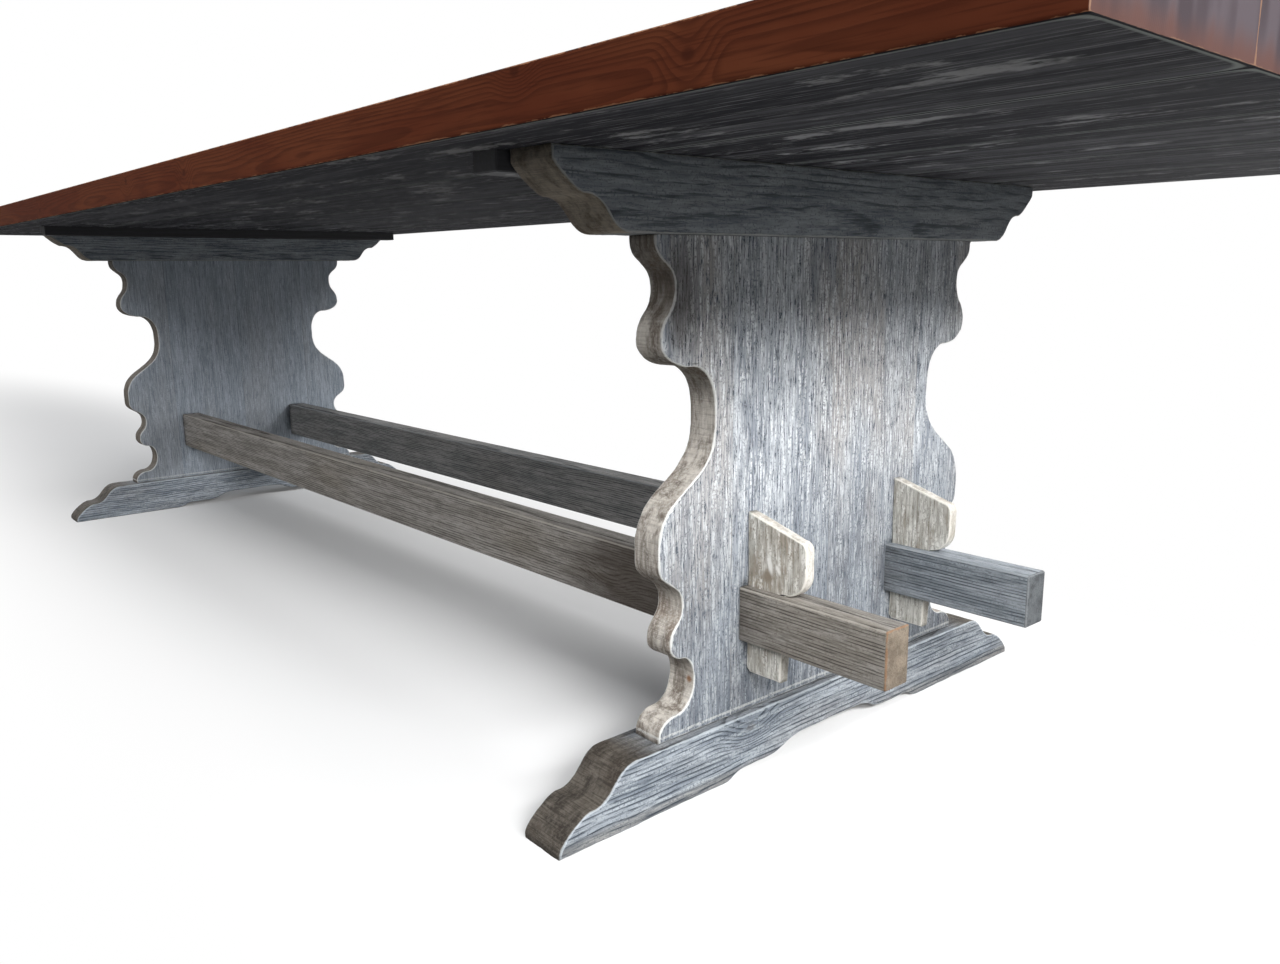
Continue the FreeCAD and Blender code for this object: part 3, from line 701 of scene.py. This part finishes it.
# a number without mm is in millimetres; a station is a place across and up, the way through it and how full
# the curve to it is
joinery = {"slabAt": 1013, "slabHalf": 21.5, "tenonAt": (145, 204.5), "tenonHalf": (20, 33.5),
           "clearance": 0.3}
slabShape = {
    "radius": 3.2 * mm, "step": 3.0, "columns": 18, "joint": 180 * mm, "saw": 0.35 * mm, "steps": 12,
    "innerColumns": 12, "innerRows": 40, "wallRows": 5, "seed": 80,
    "pith": [(0.02, 0.21, 0.4), (-0.03, -0.16, 1.9), (0.025, 0.19, 3.3), (-0.02, -0.23, 4.7)],
    "stations": [
        (296, 78, "plumb", 0), (296, 84, "plumb", 0), (268, 107, "level", 0.55), (241, 143, "plumb", 0.55),
        (258, 172, "level", 0.55), (278, 190, "plumb", 0.55), (259, 238, "plumb", 0.55),
        (295, 288, "plumb", 0.55), (295, 304, "plumb", 0), (208, 438, "plumb", 0.55), (208, 458, "plumb", 0),
        (244, 505, "level", 0.55), (290, 533, "plumb", 0.55), (269, 592, "plumb", 0.55),
        (298, 641, "plumb", 0.55), (298, 645, "plumb", 0)]}
bearerShape = {
    "radius": 2.5 * mm, "step": 2.5, "columns": 90, "saw": 0.4 * mm, "steps": 14, "seed": 60,
    "pith": (0.05, 0.03, 2.0),
    "washedBelow": 650 * mm, "washedWithin": 0.34, "washedShare": 0.5,
    "stations": [(339, 645, "level", 0), (399, 681, "level", 0.55), (436, 712, "plumb", 0.2),
                 (436, 724, "plumb", 0)]}
footShape = {
    "radius": 3 * mm, "reliefStep": 6.0, "toeStep": 3.0, "saw": 0.4 * mm, "steps": 14, "seed": 70,
    "pith": (0.03, 0.12, 7.0),
    "washedAbove": 70 * mm, "washedWithin": [0.29, 0.36], "washedShare": [0.6, 1],
    "relief": [(0, 24, "level", 0), (50, 24, "level", 0), (128, 9, "level", 0.55), (165, 9, "level", 0),
               (203, 0, "level", 0.55), (448, 0, "level", 0)],
    "toe": [(448, 0, "plumb", 0), (448, 5, "plumb", 0), (404, 41, "level", 0.3), (338, 78, "level", 0.55)]}
mirror = np.array([-1, 1])
mortiseHalf = (np.array(joinery["tenonHalf"]) + joinery["clearance"]) * mm
mortiseAt = np.array(joinery["tenonAt"]) * mm


def slabBoards():
    # four upright boards: the outer two follow the scalloped outline, the inner two are plain
    edge = halfOutline(slabShape["stations"], slabShape["step"])
    joint = slabShape["joint"]
    zLow, zHigh = edge[0, 1], edge[-1, 1]
    rise = [0, zHigh - zLow]
    u = crowded(slabShape["columns"], 0.3)
    inner = np.stack([np.full(len(edge), -joint), edge[:, 1]], 1)
    outer = edge * mirror
    left = (straight(outer[0], inner[0], u), inner, straight(outer[-1], inner[-1], u), outer)
    right = (left[0][::-1] * mirror, outer * mirror, left[2][::-1] * mirror, inner * mirror)
    atMortise = np.array([mortiseAt - mortiseHalf, mortiseAt + mortiseHalf])
    across = crowded(slabShape["innerColumns"], 0.5) * joint - joint
    across = np.unique(np.concatenate([across, -atMortise[:, 0]]))
    upward = np.linspace(zLow, zHigh, slabShape["innerRows"])
    upward = np.unique(np.concatenate([upward, atMortise[:, 1]]))
    bottom = np.stack([across, np.full(len(across), zLow)], 1)
    side = np.stack([np.full(len(upward), -joint), upward], 1)
    middle = side + [joint, 0]
    midLeft = (bottom, middle, bottom + rise, side)
    midRight = (bottom[::-1] * mirror, side * mirror, (bottom[::-1] + rise) * mirror, middle)
    return [(left, (True, False, False, True)), (midLeft, (True, False, False, False)),
            (midRight, (True, False, False, False)), (right, (True, True, False, False))]


aroundHole = (np.s_[0, :], np.s_[-1, :], np.s_[:, 0], np.s_[:, -1])  # the four edges of a grid
holeEdge = 30 * mm  # far enough from an arris to have no wear


def openMortise(patches, low, high):
    # leaves out the face cells inside the mortise and lines it with four walls
    opened, loops = [patches[0]], []
    for grid, edge, sawn, _ in patches[1:]:
        middle = (grid[:-1, :-1] + grid[1:, 1:]) / 2
        inside = ((middle[..., 1:] > low) & (middle[..., 1:] < high)).all(-1)
        opened.append((grid, edge, sawn, ~inside))
        rows, columns = np.where(inside)
        loops.append(grid[rows.min():rows.max() + 2, columns.min():columns.max() + 2])
    front, back = loops
    for cut in aroundHole:
        wall = np.linspace(front[cut], back[cut], slabShape["wallRows"])
        opened.append((wall, np.full(wall.shape[:2], holeEdge), np.ones(wall.shape[:2]), None))
    return opened


def footSides():
    # the stepped relief below, a flat above and a toe at each end
    relief = halfOutline(footShape["relief"], footShape["reliefStep"])
    toe = halfOutline(footShape["toe"], footShape["toeStep"])
    bottom = np.concatenate([relief[:0:-1] * mirror, relief])
    reach, top = bottom[-1, 0], toe[-1]
    return bottom, toe, bottom * [top[0] / reach, 0] + [0, top[1]], toe * mirror


def bearerSides():
    # flat above and below, with an ogee at each end
    ogee = halfOutline(bearerShape["stations"], bearerShape["step"])
    u = crowded(bearerShape["columns"], 0.5)
    bottom, top = (straight(ogee[row] * mirror, ogee[row], u) for row in (0, -1))
    return bottom, ogee, top, ogee * mirror


def crossPiece(node, sides, shape, end):
    # a bearer or a foot: its outline carried through the thickness that the frame has
    low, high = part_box(node)
    return plate(sides, low[0], high[0], shape["radius"], everyEdge, [2, 0, 1], shape["steps"], shape["saw"],
                 shape["seed"] + end)


def pithOf(shape, way):
    # where the log's middle runs, by turns on either side of a piece and its pair
    across, deep, along = shape["pith"]
    return across * way, deep, along + way


# the far trestle takes the painted-light copies of the near finishes
for end, name, wash in ((1, "Near", "grey"), (-1, "Far", "blue")):
    slug = name.lower()
    head = []
    for grid, edge, sawn, keep in crossPiece(f"bearer_{slug}", bearerSides(), bearerShape, end):
        across, up = np.abs(grid[..., 1]), grid[..., 2]
        isUnder = (up < bearerShape["washedBelow"]) & (across < bearerShape["washedWithin"])
        washed = np.where(isUnder, bearerShape["washedShare"], 1)  # washed like the faces, above the slab
        head.append((grid, edge, sawn * washed, keep))
    makePiece(f"bearer{name}", head, [0, 2, 1], pithOf(bearerShape, end), "base", f"bearer_{slug}",
              washes["slate washed pine"])
    sled = []
    for grid, edge, sawn, keep in crossPiece(f"foot_{slug}", footSides(), footShape, end):
        ledge = np.interp(np.abs(grid[..., 1]), footShape["washedWithin"], footShape["washedShare"])
        washed = np.where(grid[..., 2] > footShape["washedAbove"], ledge, 1)  # the ledge beside the slab
        sled.append((grid, edge, sawn * washed, keep))
    makePiece(f"foot{name}", sled, [0, 2, 1], pithOf(footShape, end), "base", f"foot_{slug}",
              washes[f"{wash} washed pine feet"])
    low, high = ((end * joinery["slabAt"] + way * joinery["slabHalf"]) * mm for way in (-1, 1))
    for number, (sides, worn) in enumerate(slabBoards(), 1):
        hasMortise = number in (2, 3)
        patches = plate(sides, low, high, slabShape["radius"], worn, [2, 0, 1], slabShape["steps"],
                        slabShape["saw"], slabShape["seed"] + 10 * number + end, hasMortise)
        if hasMortise:
            centre = mortiseAt * (mirror if number == 2 else 1)
            patches = openMortise(patches, centre - mortiseHalf, centre + mortiseHalf)
        across, deep, along = slabShape["pith"][number - 1]
        makePiece(f"slab{name}Board{number}", patches, [0, 1, 2], (across, deep, along + 3 * end), "base",
                  f"slab_{slug}_board_{number}", washes[f"{wash} washed pine"])
print("trestles made")


# in millimetres; the rows are where a section stands along the tenon, from its tip to the shoulder
stretcherShape = {"railHalf": (21.5, 42.5), "radius": 3.0, "endRadius": 3.0, "endShare": 0.8, "tip": 1244.5,
                  "slotHalf": 7.8, "slotWall": 8, "slotSawn": 0.5, "railRows": 46, "slack": 1e-6,
                  "cornerPoints": 3, "slotPoints": 5, "sidePoints": 12, "beside": (0.72, 1), "endPoints": 6,
                  "pith": (0.015, 0.11, 1.3),
                  "tipRows": (1220, 1195, 1170, 1145, 1122, 1108),
                  "slotRows": (1082, 1065, 1048, 1034.5, 1028.5), "shoulderRows": (1010, 991.5),
                  "wearStart": 1.3, "tipWear": 0.3, "tipSawn": 0.75, "capWear": 1.5, "far": 30}
slabFace = joinery["slabAt"] + joinery["slabHalf"]
shoulder = joinery["slabAt"] - joinery["slabHalf"]


def sectionLoop(half, radius, slotShare):
    # a rectangle with rounded corners, cut at the corners' middles; its level sides have points at the slot
    a, b = half
    corner = np.array([a - radius, b - radius])
    turn = np.linspace(math.pi / 4, math.pi / 2, stretcherShape["cornerPoints"])
    arc = np.stack([np.cos(turn), np.sin(turn)], 1) * radius
    swap = arc[:, ::-1]
    beside = np.array(stretcherShape["beside"]) * corner[0]
    atSlot = np.linspace(-slotShare, slotShare, stretcherShape["slotPoints"]) * a
    flatA = np.concatenate([-beside[::-1], atSlot, beside])
    flatB = np.linspace(-1, 1, stretcherShape["sidePoints"]) * corner[1]
    top = np.concatenate([(arc * mirror + corner * mirror)[:-1], np.stack([flatA, np.full(len(flatA), b)], 1),
                          (arc[::-1] + corner)[1:]])
    right = np.concatenate([((swap + corner) * -mirror)[:-1], np.stack([np.full(len(flatB), a), flatB], 1),
                            (swap[::-1] + corner)[1:]])
    return top * -mirror, right, top, right * mirror


# the sloping end of a slot, as the tusk's tail: its distance from the slab at the tenon's top, and its slope
slotEnd = {"reach": 60, "slope": 6 / 109, "top": 238}


def tuskReach(z):
    return slotEnd["reach"] + slotEnd["slope"] * (z - slotEnd["top"])


def stretcherPatches(sideY):
    # two sections carried along the table, with a shoulder at each slab and a slot through each tenon
    s = stretcherShape
    y, z = joinery["tenonAt"]
    tenonHalf, railHalf = np.array(joinery["tenonHalf"]), np.array(s["railHalf"])
    slotShare = s["slotHalf"] / tenonHalf[0]
    tenon = sectionLoop(tenonHalf, s["radius"], slotShare)
    tenonLoop, railLoop = loopOf(tenon), loopOf(sectionLoop(railHalf, s["radius"], slotShare))
    turn = np.linspace(0, math.pi / 2, s["endPoints"])
    first = len(turn) + len(s["tipRows"])
    last = first + len(s["slotRows"])
    x = np.concatenate([s["tip"] - s["endRadius"] * (1 - np.cos(turn)), s["tipRows"], [slabFace],
                        s["slotRows"], s["shoulderRows"], np.linspace(shoulder, 0, s["railRows"])])
    inset = np.zeros(len(x) - s["railRows"])
    inset[:len(turn)] = s["endRadius"] * s["endShare"] * (1 - np.sin(turn))
    loops = np.concatenate([tenonLoop - outward(tenonLoop) * inset[:, None, None],
                            np.repeat(railLoop[None], s["railRows"], 0)])
    level = loops[..., 1] + z
    along = np.repeat(x[:, None], len(tenonLoop), 1)
    along[first] += tuskReach(level[first]) + joinery["clearance"]  # the slot's end slopes with the tusk
    grid = np.stack([along, loops[..., 0], level], -1)
    whole = np.concatenate([grid, grid[-2::-1] * [-1, 1, 1]])
    closed = np.concatenate([whole, whole[:, :1]], 1)
    middle = np.abs((closed[:-1, :-1] + closed[1:, 1:]) / 2 - [0, 0, z])
    atSlot = (middle[..., 1] < s["slotHalf"]) & (middle[..., 2] > tenonHalf[1] - s["slack"])
    row = np.arange(len(middle))
    fromEnd = np.minimum(row, row[::-1])
    keep = ~(atSlot & ((fromEnd >= first) & (fromEnd < last))[:, None])

    fromAxis = np.abs(closed - [0, 0, z])
    railCorner, tenonCorner = (np.linalg.norm(half - fromAxis[..., 1:], axis=-1)
                               for half in (railHalf, tenonHalf))
    fromTip = np.abs(s["tip"] - s["tipWear"] * s["endRadius"] - fromAxis[..., 0]) + s["wearStart"]
    isTenon = fromAxis[..., 0] > shoulder - s["slack"]
    edge = np.where(isTenon, np.minimum(tenonCorner, fromTip), railCorner)
    edge = np.clip(edge - s["wearStart"], 0, s["far"])
    isEnd = (fromAxis[..., 0] > s["tip"] - s["tipSawn"] * s["endRadius"]).astype(float)
    shift = np.array([0, sideY * y, 0])
    patches = [((closed + shift) * mm, edge * mm, isEnd, keep)]
    for loop in (whole[0], whole[-1]):
        flat = coons(*sidesOf(loop[:, 1:], len(tenon[0]), len(tenon[1])))
        cap = np.concatenate([np.full((*flat.shape[:2], 1), loop[0, 0]), flat], 2)
        gap = (tenonHalf - s["radius"] - np.abs(flat - [0, z])).min(-1)
        gap = np.clip(gap, 0, s["far"]) + s["capWear"]
        patches.append(((cap + shift) * mm, gap * mm, np.ones(gap.shape), None))
    columns = np.where(np.abs(tenonLoop[:, 0]) < s["slotHalf"] + s["slack"])[0]
    columns = columns[np.argsort(tenonLoop[columns, 0])]
    upper, lower = (columns[tenonLoop[columns, 1] * way > 0] for way in (1, -1))
    for start, stop in ((first, last), (len(whole) - 1 - last, len(whole) - 1 - first)):
        above, below = (whole[start:stop + 1][:, side] for side in (upper, lower))
        for cut in aroundHole:
            wall = np.linspace(above[cut], below[cut], s["slotWall"])
            size = wall.shape[:2]
            patches.append(((wall + shift) * mm, np.full(size, holeEdge), np.full(size, s["slotSawn"]), None))
    return patches


for sideY, name, wash in ((-1, "Front", "driftwood washed pine"), (1, "Back", "dusk washed pine")):
    makePiece(f"stretcher{name}", stretcherPatches(sideY), [1, 2, 0], pithOf(stretcherShape, sideY), "base",
              f"stretcher_{name.lower()}", washes[wash])
print("stretchers made")


# a number without mm is in millimetres, from the slab's face and the floor
tuskShape = {"radius": 2.0 * mm, "saw": 0.3 * mm, "steps": 7, "inner": 0.3, "head": 90, "nose": 12,
             "crown": 329, "brow": 307, "seat": 238.3, "tip": 129, "tailEnd": 54, "ease": 5,
             "browPoints": 12, "roundPoints": 14, "frontPoints": 9, "tailPoints": 26, "seed": 120,
             "pith": (0.03, 0.09, 0.5)}


def tuskSides():
    # straight against the slab, a sloping brow, a round nose, a hollow chin and a tapering tail
    s = tuskShape
    root = tuskReach(s["seat"])
    chin = s["head"] - root
    u, quarter = np.linspace(0, 1, s["browPoints"]), np.linspace(0, math.pi / 2, s["roundPoints"])
    bend = np.stack([np.sin(quarter), np.cos(quarter)], 1)
    nose = s["nose"] * bend + [s["head"] - s["nose"], s["brow"] - s["nose"]]
    under = chin * bend[:, ::-1] * -mirror + [root, s["seat"] + chin]
    front = straight(nose[-1], under[0], np.linspace(0, 1, s["frontPoints"]))
    tail = straight((root, s["seat"]), (s["tailEnd"], s["tip"]), np.linspace(0, 1, s["tailPoints"]))
    right = np.concatenate([nose, front[1:], under[1:], tail[1:]])[::-1]
    toe, crown = (s["inner"], s["tip"] + s["ease"]), (s["inner"], s["crown"])
    left = straight(toe, crown, np.linspace(0, 1, len(right)))
    bottom = straight(toe, (s["tailEnd"], s["tip"]), u)
    bottom[:, 1] = np.maximum(s["tip"], s["tip"] + s["ease"] - (bottom[:, 0] - s["inner"]))
    top = straight(crown, (s["head"] - s["nose"], s["brow"]), u)
    return [side * mm for side in (bottom, right, top, left)]


for end, far in ((1, "Near"), (-1, "Far")):
    for sideY, side in ((-1, "Front"), (1, "Back")):
        node = f"tusk_{far.lower()}_{side.lower()}"
        low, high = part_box(node)
        patches = plate(tuskSides(), low[1], high[1], tuskShape["radius"], everyEdge, [0, 2, 1],
                        tuskShape["steps"], tuskShape["saw"], tuskShape["seed"] + end + 3 * sideY)
        across, deep, along = tuskShape["pith"]
        placed = [((grid + [slabFace * mm, 0, 0]) * [end, 1, 1], *rest) for grid, *rest in patches]
        makePiece(f"tusk{far}{side}", placed, [1, 0, 2], (across, deep, along + end + 2 * sideY),
                  f"{node}_key", node, washes["cream washed pine"])
print("tusks made")


keptFinish = {"streak": ((220, 14, 220), 4.0, 0.65, 0.35, 0.7), "spread": 0.1, "bump": 0.5,
              "relief": 0.3 * mm, "gloss": 0.3}


def plainFinish(name, pale, dark, roughness, metallic=0.0):
    # planed pine left bare or painted, or blackened steel: soft streaks along one way of the table
    material, add = newMaterial(name)
    place = add("TexCoord").outputs["Object"]
    noise, streak = stretchedMark(add, place, *keptFinish["streak"])
    colour = add("Mix", cover, {0: streak, 6: tone(dark), 7: tone(pale)})
    spread = keptFinish["spread"]
    rough = add("MapRange", None, [noise, 0.0, 1.0, roughness - spread, roughness + spread])
    surface(add, colour, rough, noise, keptFinish, metallic)
    return material


blackened = plainFinish("blackened pine", "#26262a", "#0e0e10", 0.7)
rawPine = plainFinish("raw pine", "#d2b48a", "#b08d61", 0.75)
steel = plainFinish("blackened steel", "#3c3d40", "#232427", 0.5, 1.0)
for node, finish in {"batten_near": blackened, "batten_far": blackened, "batten_screws": steel,
                     "top_tongues": rawPine, "slab_near_tongues": rawPine, "slab_far_tongues": rawPine,
                     "locating_pegs_near": rawPine, "locating_pegs_far": rawPine}.items():
    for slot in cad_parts[node].material_slots:
        slot.material = finish
print("kept pieces finished")


topPieces = [f"topBoard{number}" for number in range(1, topShape["boards"] + 1)]
stage = {
    "fill": 0.3, "fillTone": "#eef1f6", "bounce": "#6f6d6a", "floor": "#ececec", "lift": 0.05,
    "floorReach": 30, "floorLines": 13, "fadeShape": (0.12, 1, 1), "fadeFrom": 0.1, "fadeTo": 0.8,
    # the end window stands too near the top to light it, so a farther one lights the end grain in its place,
    # and the floor's own window turns the shadow to the far end
    "flags": {"windowEnd": ("EXCLUDE", topPieces), "windowCap": ("INCLUDE", topPieces),
              "windowWest": ("EXCLUDE", ["floor"]), "windowFront": ("EXCLUDE", ["floor"]),
              "windowFloor": ("INCLUDE", ["floor"])},
    "lights": [  # name, point it aims at, direction from there, distance, width, height, level
        ("windowEnd", (1.034, 0, 0.42), (1.51, -0.34, 0.722), 1.7, 1.4, 0.26, 1.55),
        ("windowCap", (1.59, 0, 0.72), (1.0, -0.25, -0.02), 3.5, 2.0, 0.12, 0.62),
        ("windowWest", (-1.4, 0, 0.4), (-1.0, 0.2, 0.25), 3.5, 3.0, 1.2, 0.5),
        ("windowFront", (0, 0, 0.4), (0.3, -1.0, 0.7), 4.5, 4.0, 1.4, 0.5),
        ("windowFloor", (0.4, 0, 0), (1.0, -0.5, 0.52), 4.0, 1.4, 0.8, 0.58),
        ("windowLow", (0, 0, 0.45), (1.0, -0.35, 0.06), 7.0, 3.0, 1.0, 0.05),
        ("windowFar", (-1.0, 0, 0.35), (1.0, 1.35, 0.0), 3.2, 1.2, 0.6, 0.105),
        ("windowBack", (0, 0, 0.2), (0.35, 1.0, 0.95), 3.0, 1.2, 1.2, 0.65),
        ("overhead", (0, 0, 0.4), (0.0, -0.1, 1.0), 4.0, 4.0, 4.0, 0.35)],
}
white = (1, 1, 1, 1)


def seenRays(add):
    # 1 for what the camera sees, by itself or in a reflection or through glass
    path = add("LightPath").outputs
    seen = add("Math", larger, [path["Is Camera Ray"], path["Is Glossy Ray"]])
    return add("Math", larger, [seen, path["Is Transmission Ray"]])


def makeFloor():
    # a level grid; white to the camera far away, and a plain pale floor with the shadow near the table
    lines = stage["floorLines"]
    reach = np.linspace(-stage["floorReach"], stage["floorReach"], lines)
    grid = np.stack([*np.meshgrid(reach, reach), np.zeros((lines, lines))], -1)
    index = np.arange(lines * lines).reshape(lines, lines)
    quads = np.stack([index[:-1, :-1], index[:-1, 1:], index[1:, 1:], index[1:, :-1]], -1).reshape(-1, 4)
    mesh = bpy.data.meshes.new("floor")
    mesh.from_pydata(grid.reshape(-1, 3).tolist(), [], quads.tolist())
    floor = bpy.data.objects.new("floor", mesh)
    bpy.context.scene.collection.objects.link(floor)
    material, add = newMaterial("pale floor")
    seen = seenRays(add)
    colour = add("Mix", cover, {0: seen, 6: tone(stage["bounce"]), 7: tone(stage["floor"])})
    matt = add("BsdfDiffuse", None, {"Color": colour})
    lift = add("Math", times, [seen, stage["lift"]])
    glow = add("Emission", None, {"Color": white, "Strength": lift})
    lit = add("AddShader", None, [matt, glow])
    blank = add("Emission", None, {"Color": white, "Strength": seen})
    place = add("TexCoord").outputs["Object"]
    squeezed = add("Mapping", None, {"Vector": place, "Scale": stage["fadeShape"]})
    away = add("VectorMath", length, [squeezed])
    fade = add("MapRange", smooth, [away, stage["fadeFrom"], stage["fadeTo"]])
    both = add("MixShader", None, [fade, lit, blank])
    add("OutputMaterial", None, {"Surface": both})
    mesh.materials.append(material)


def makeWorld():
    # white where the camera or a reflection sees it, and a soft cool fill for everything else
    world = bpy.data.worlds.new("studio")
    world.use_nodes = True
    world.node_tree.nodes.clear()
    add = partial(addNode, world.node_tree)
    soft = add("Background", None, {"Color": tone(stage["fillTone"]), "Strength": stage["fill"]})
    blank = add("Background", None, {"Color": white, "Strength": 1.0})
    both = add("MixShader", None, [seenRays(add), soft, blank])
    add("OutputWorld", None, {"Surface": both})
    bpy.context.scene.world = world


def standing(right, upward, back, place):
    # three axes and a place as one matrix
    axes = np.stack([right, upward, back], 1).tolist()
    return Matrix([[*row, at] for row, at in zip(axes, place)] + [[0, 0, 0, 1]])


def makeLights():
    # soft boxes; a level of 1 shows a facing colour as it is written
    for name, aim, direction, distance, width, height, level in stage["lights"]:
        lamp = bpy.data.lights.new(name, "AREA")
        lamp.shape, lamp.size, lamp.size_y = "RECTANGLE", width, height
        lamp.energy = level * math.pi ** 2 * distance ** 2
        light = bpy.data.objects.new(name, lamp)
        toward = np.array(direction) / np.linalg.norm(direction)
        across = np.cross((0, 0, 1), toward)
        across = across / np.linalg.norm(across)
        light.matrix_world = standing(across, np.cross(toward, across), toward, toward * distance + aim)
        light.visible_camera = False
        bpy.context.scene.collection.objects.link(light)
        if name in stage["flags"]:
            state, pieces = stage["flags"][name]
            flagged = bpy.data.collections.new("flagged " + name)
            light.light_linking.receiver_collection = flagged
            for piece in pieces:
                flagged.objects.link(bpy.data.objects[piece])
            for row in flagged.collection_objects:
                row.light_linking.link_state = state


# angles in radians; the lens is from its focal length in pixels of the 1280 pixel frame
view = {"sensor": 36, "focalPixels": 1019.84, "framePixels": 1280, "place": (1.8351, -1.0182, 0.6078),
        "yaw": 0.8547, "pitch": -0.2038, "roll": -0.0091, "clip": (0.01, 200)}


def makeCamera():
    # where the photograph was taken from: forward, right and up from the three angles
    data = bpy.data.cameras.new("camera")
    data.sensor_fit, data.sensor_width = "HORIZONTAL", view["sensor"]
    data.lens = view["sensor"] * view["focalPixels"] / view["framePixels"]
    data.clip_start, data.clip_end = view["clip"]
    camera = bpy.data.objects.new("camera", data)
    yaw, pitch, roll = view["yaw"], view["pitch"], view["roll"]
    ahead = np.array([-math.sin(yaw) * math.cos(pitch), math.cos(yaw) * math.cos(pitch), math.sin(pitch)])
    level = np.array([math.cos(yaw), math.sin(yaw), 0])
    plumb = np.cross(level, ahead)
    right = math.cos(roll) * level + math.sin(roll) * plumb
    upward = math.cos(roll) * plumb - math.sin(roll) * level
    camera.matrix_world = standing(right, upward, -ahead, view["place"])
    bpy.context.scene.collection.objects.link(camera)
    bpy.context.scene.camera = camera


makeFloor()
makeWorld()
makeLights()
makeCamera()
bpy.context.scene.view_settings.view_transform = "Standard"
print("stage made")

bpy.context.view_layer.update()
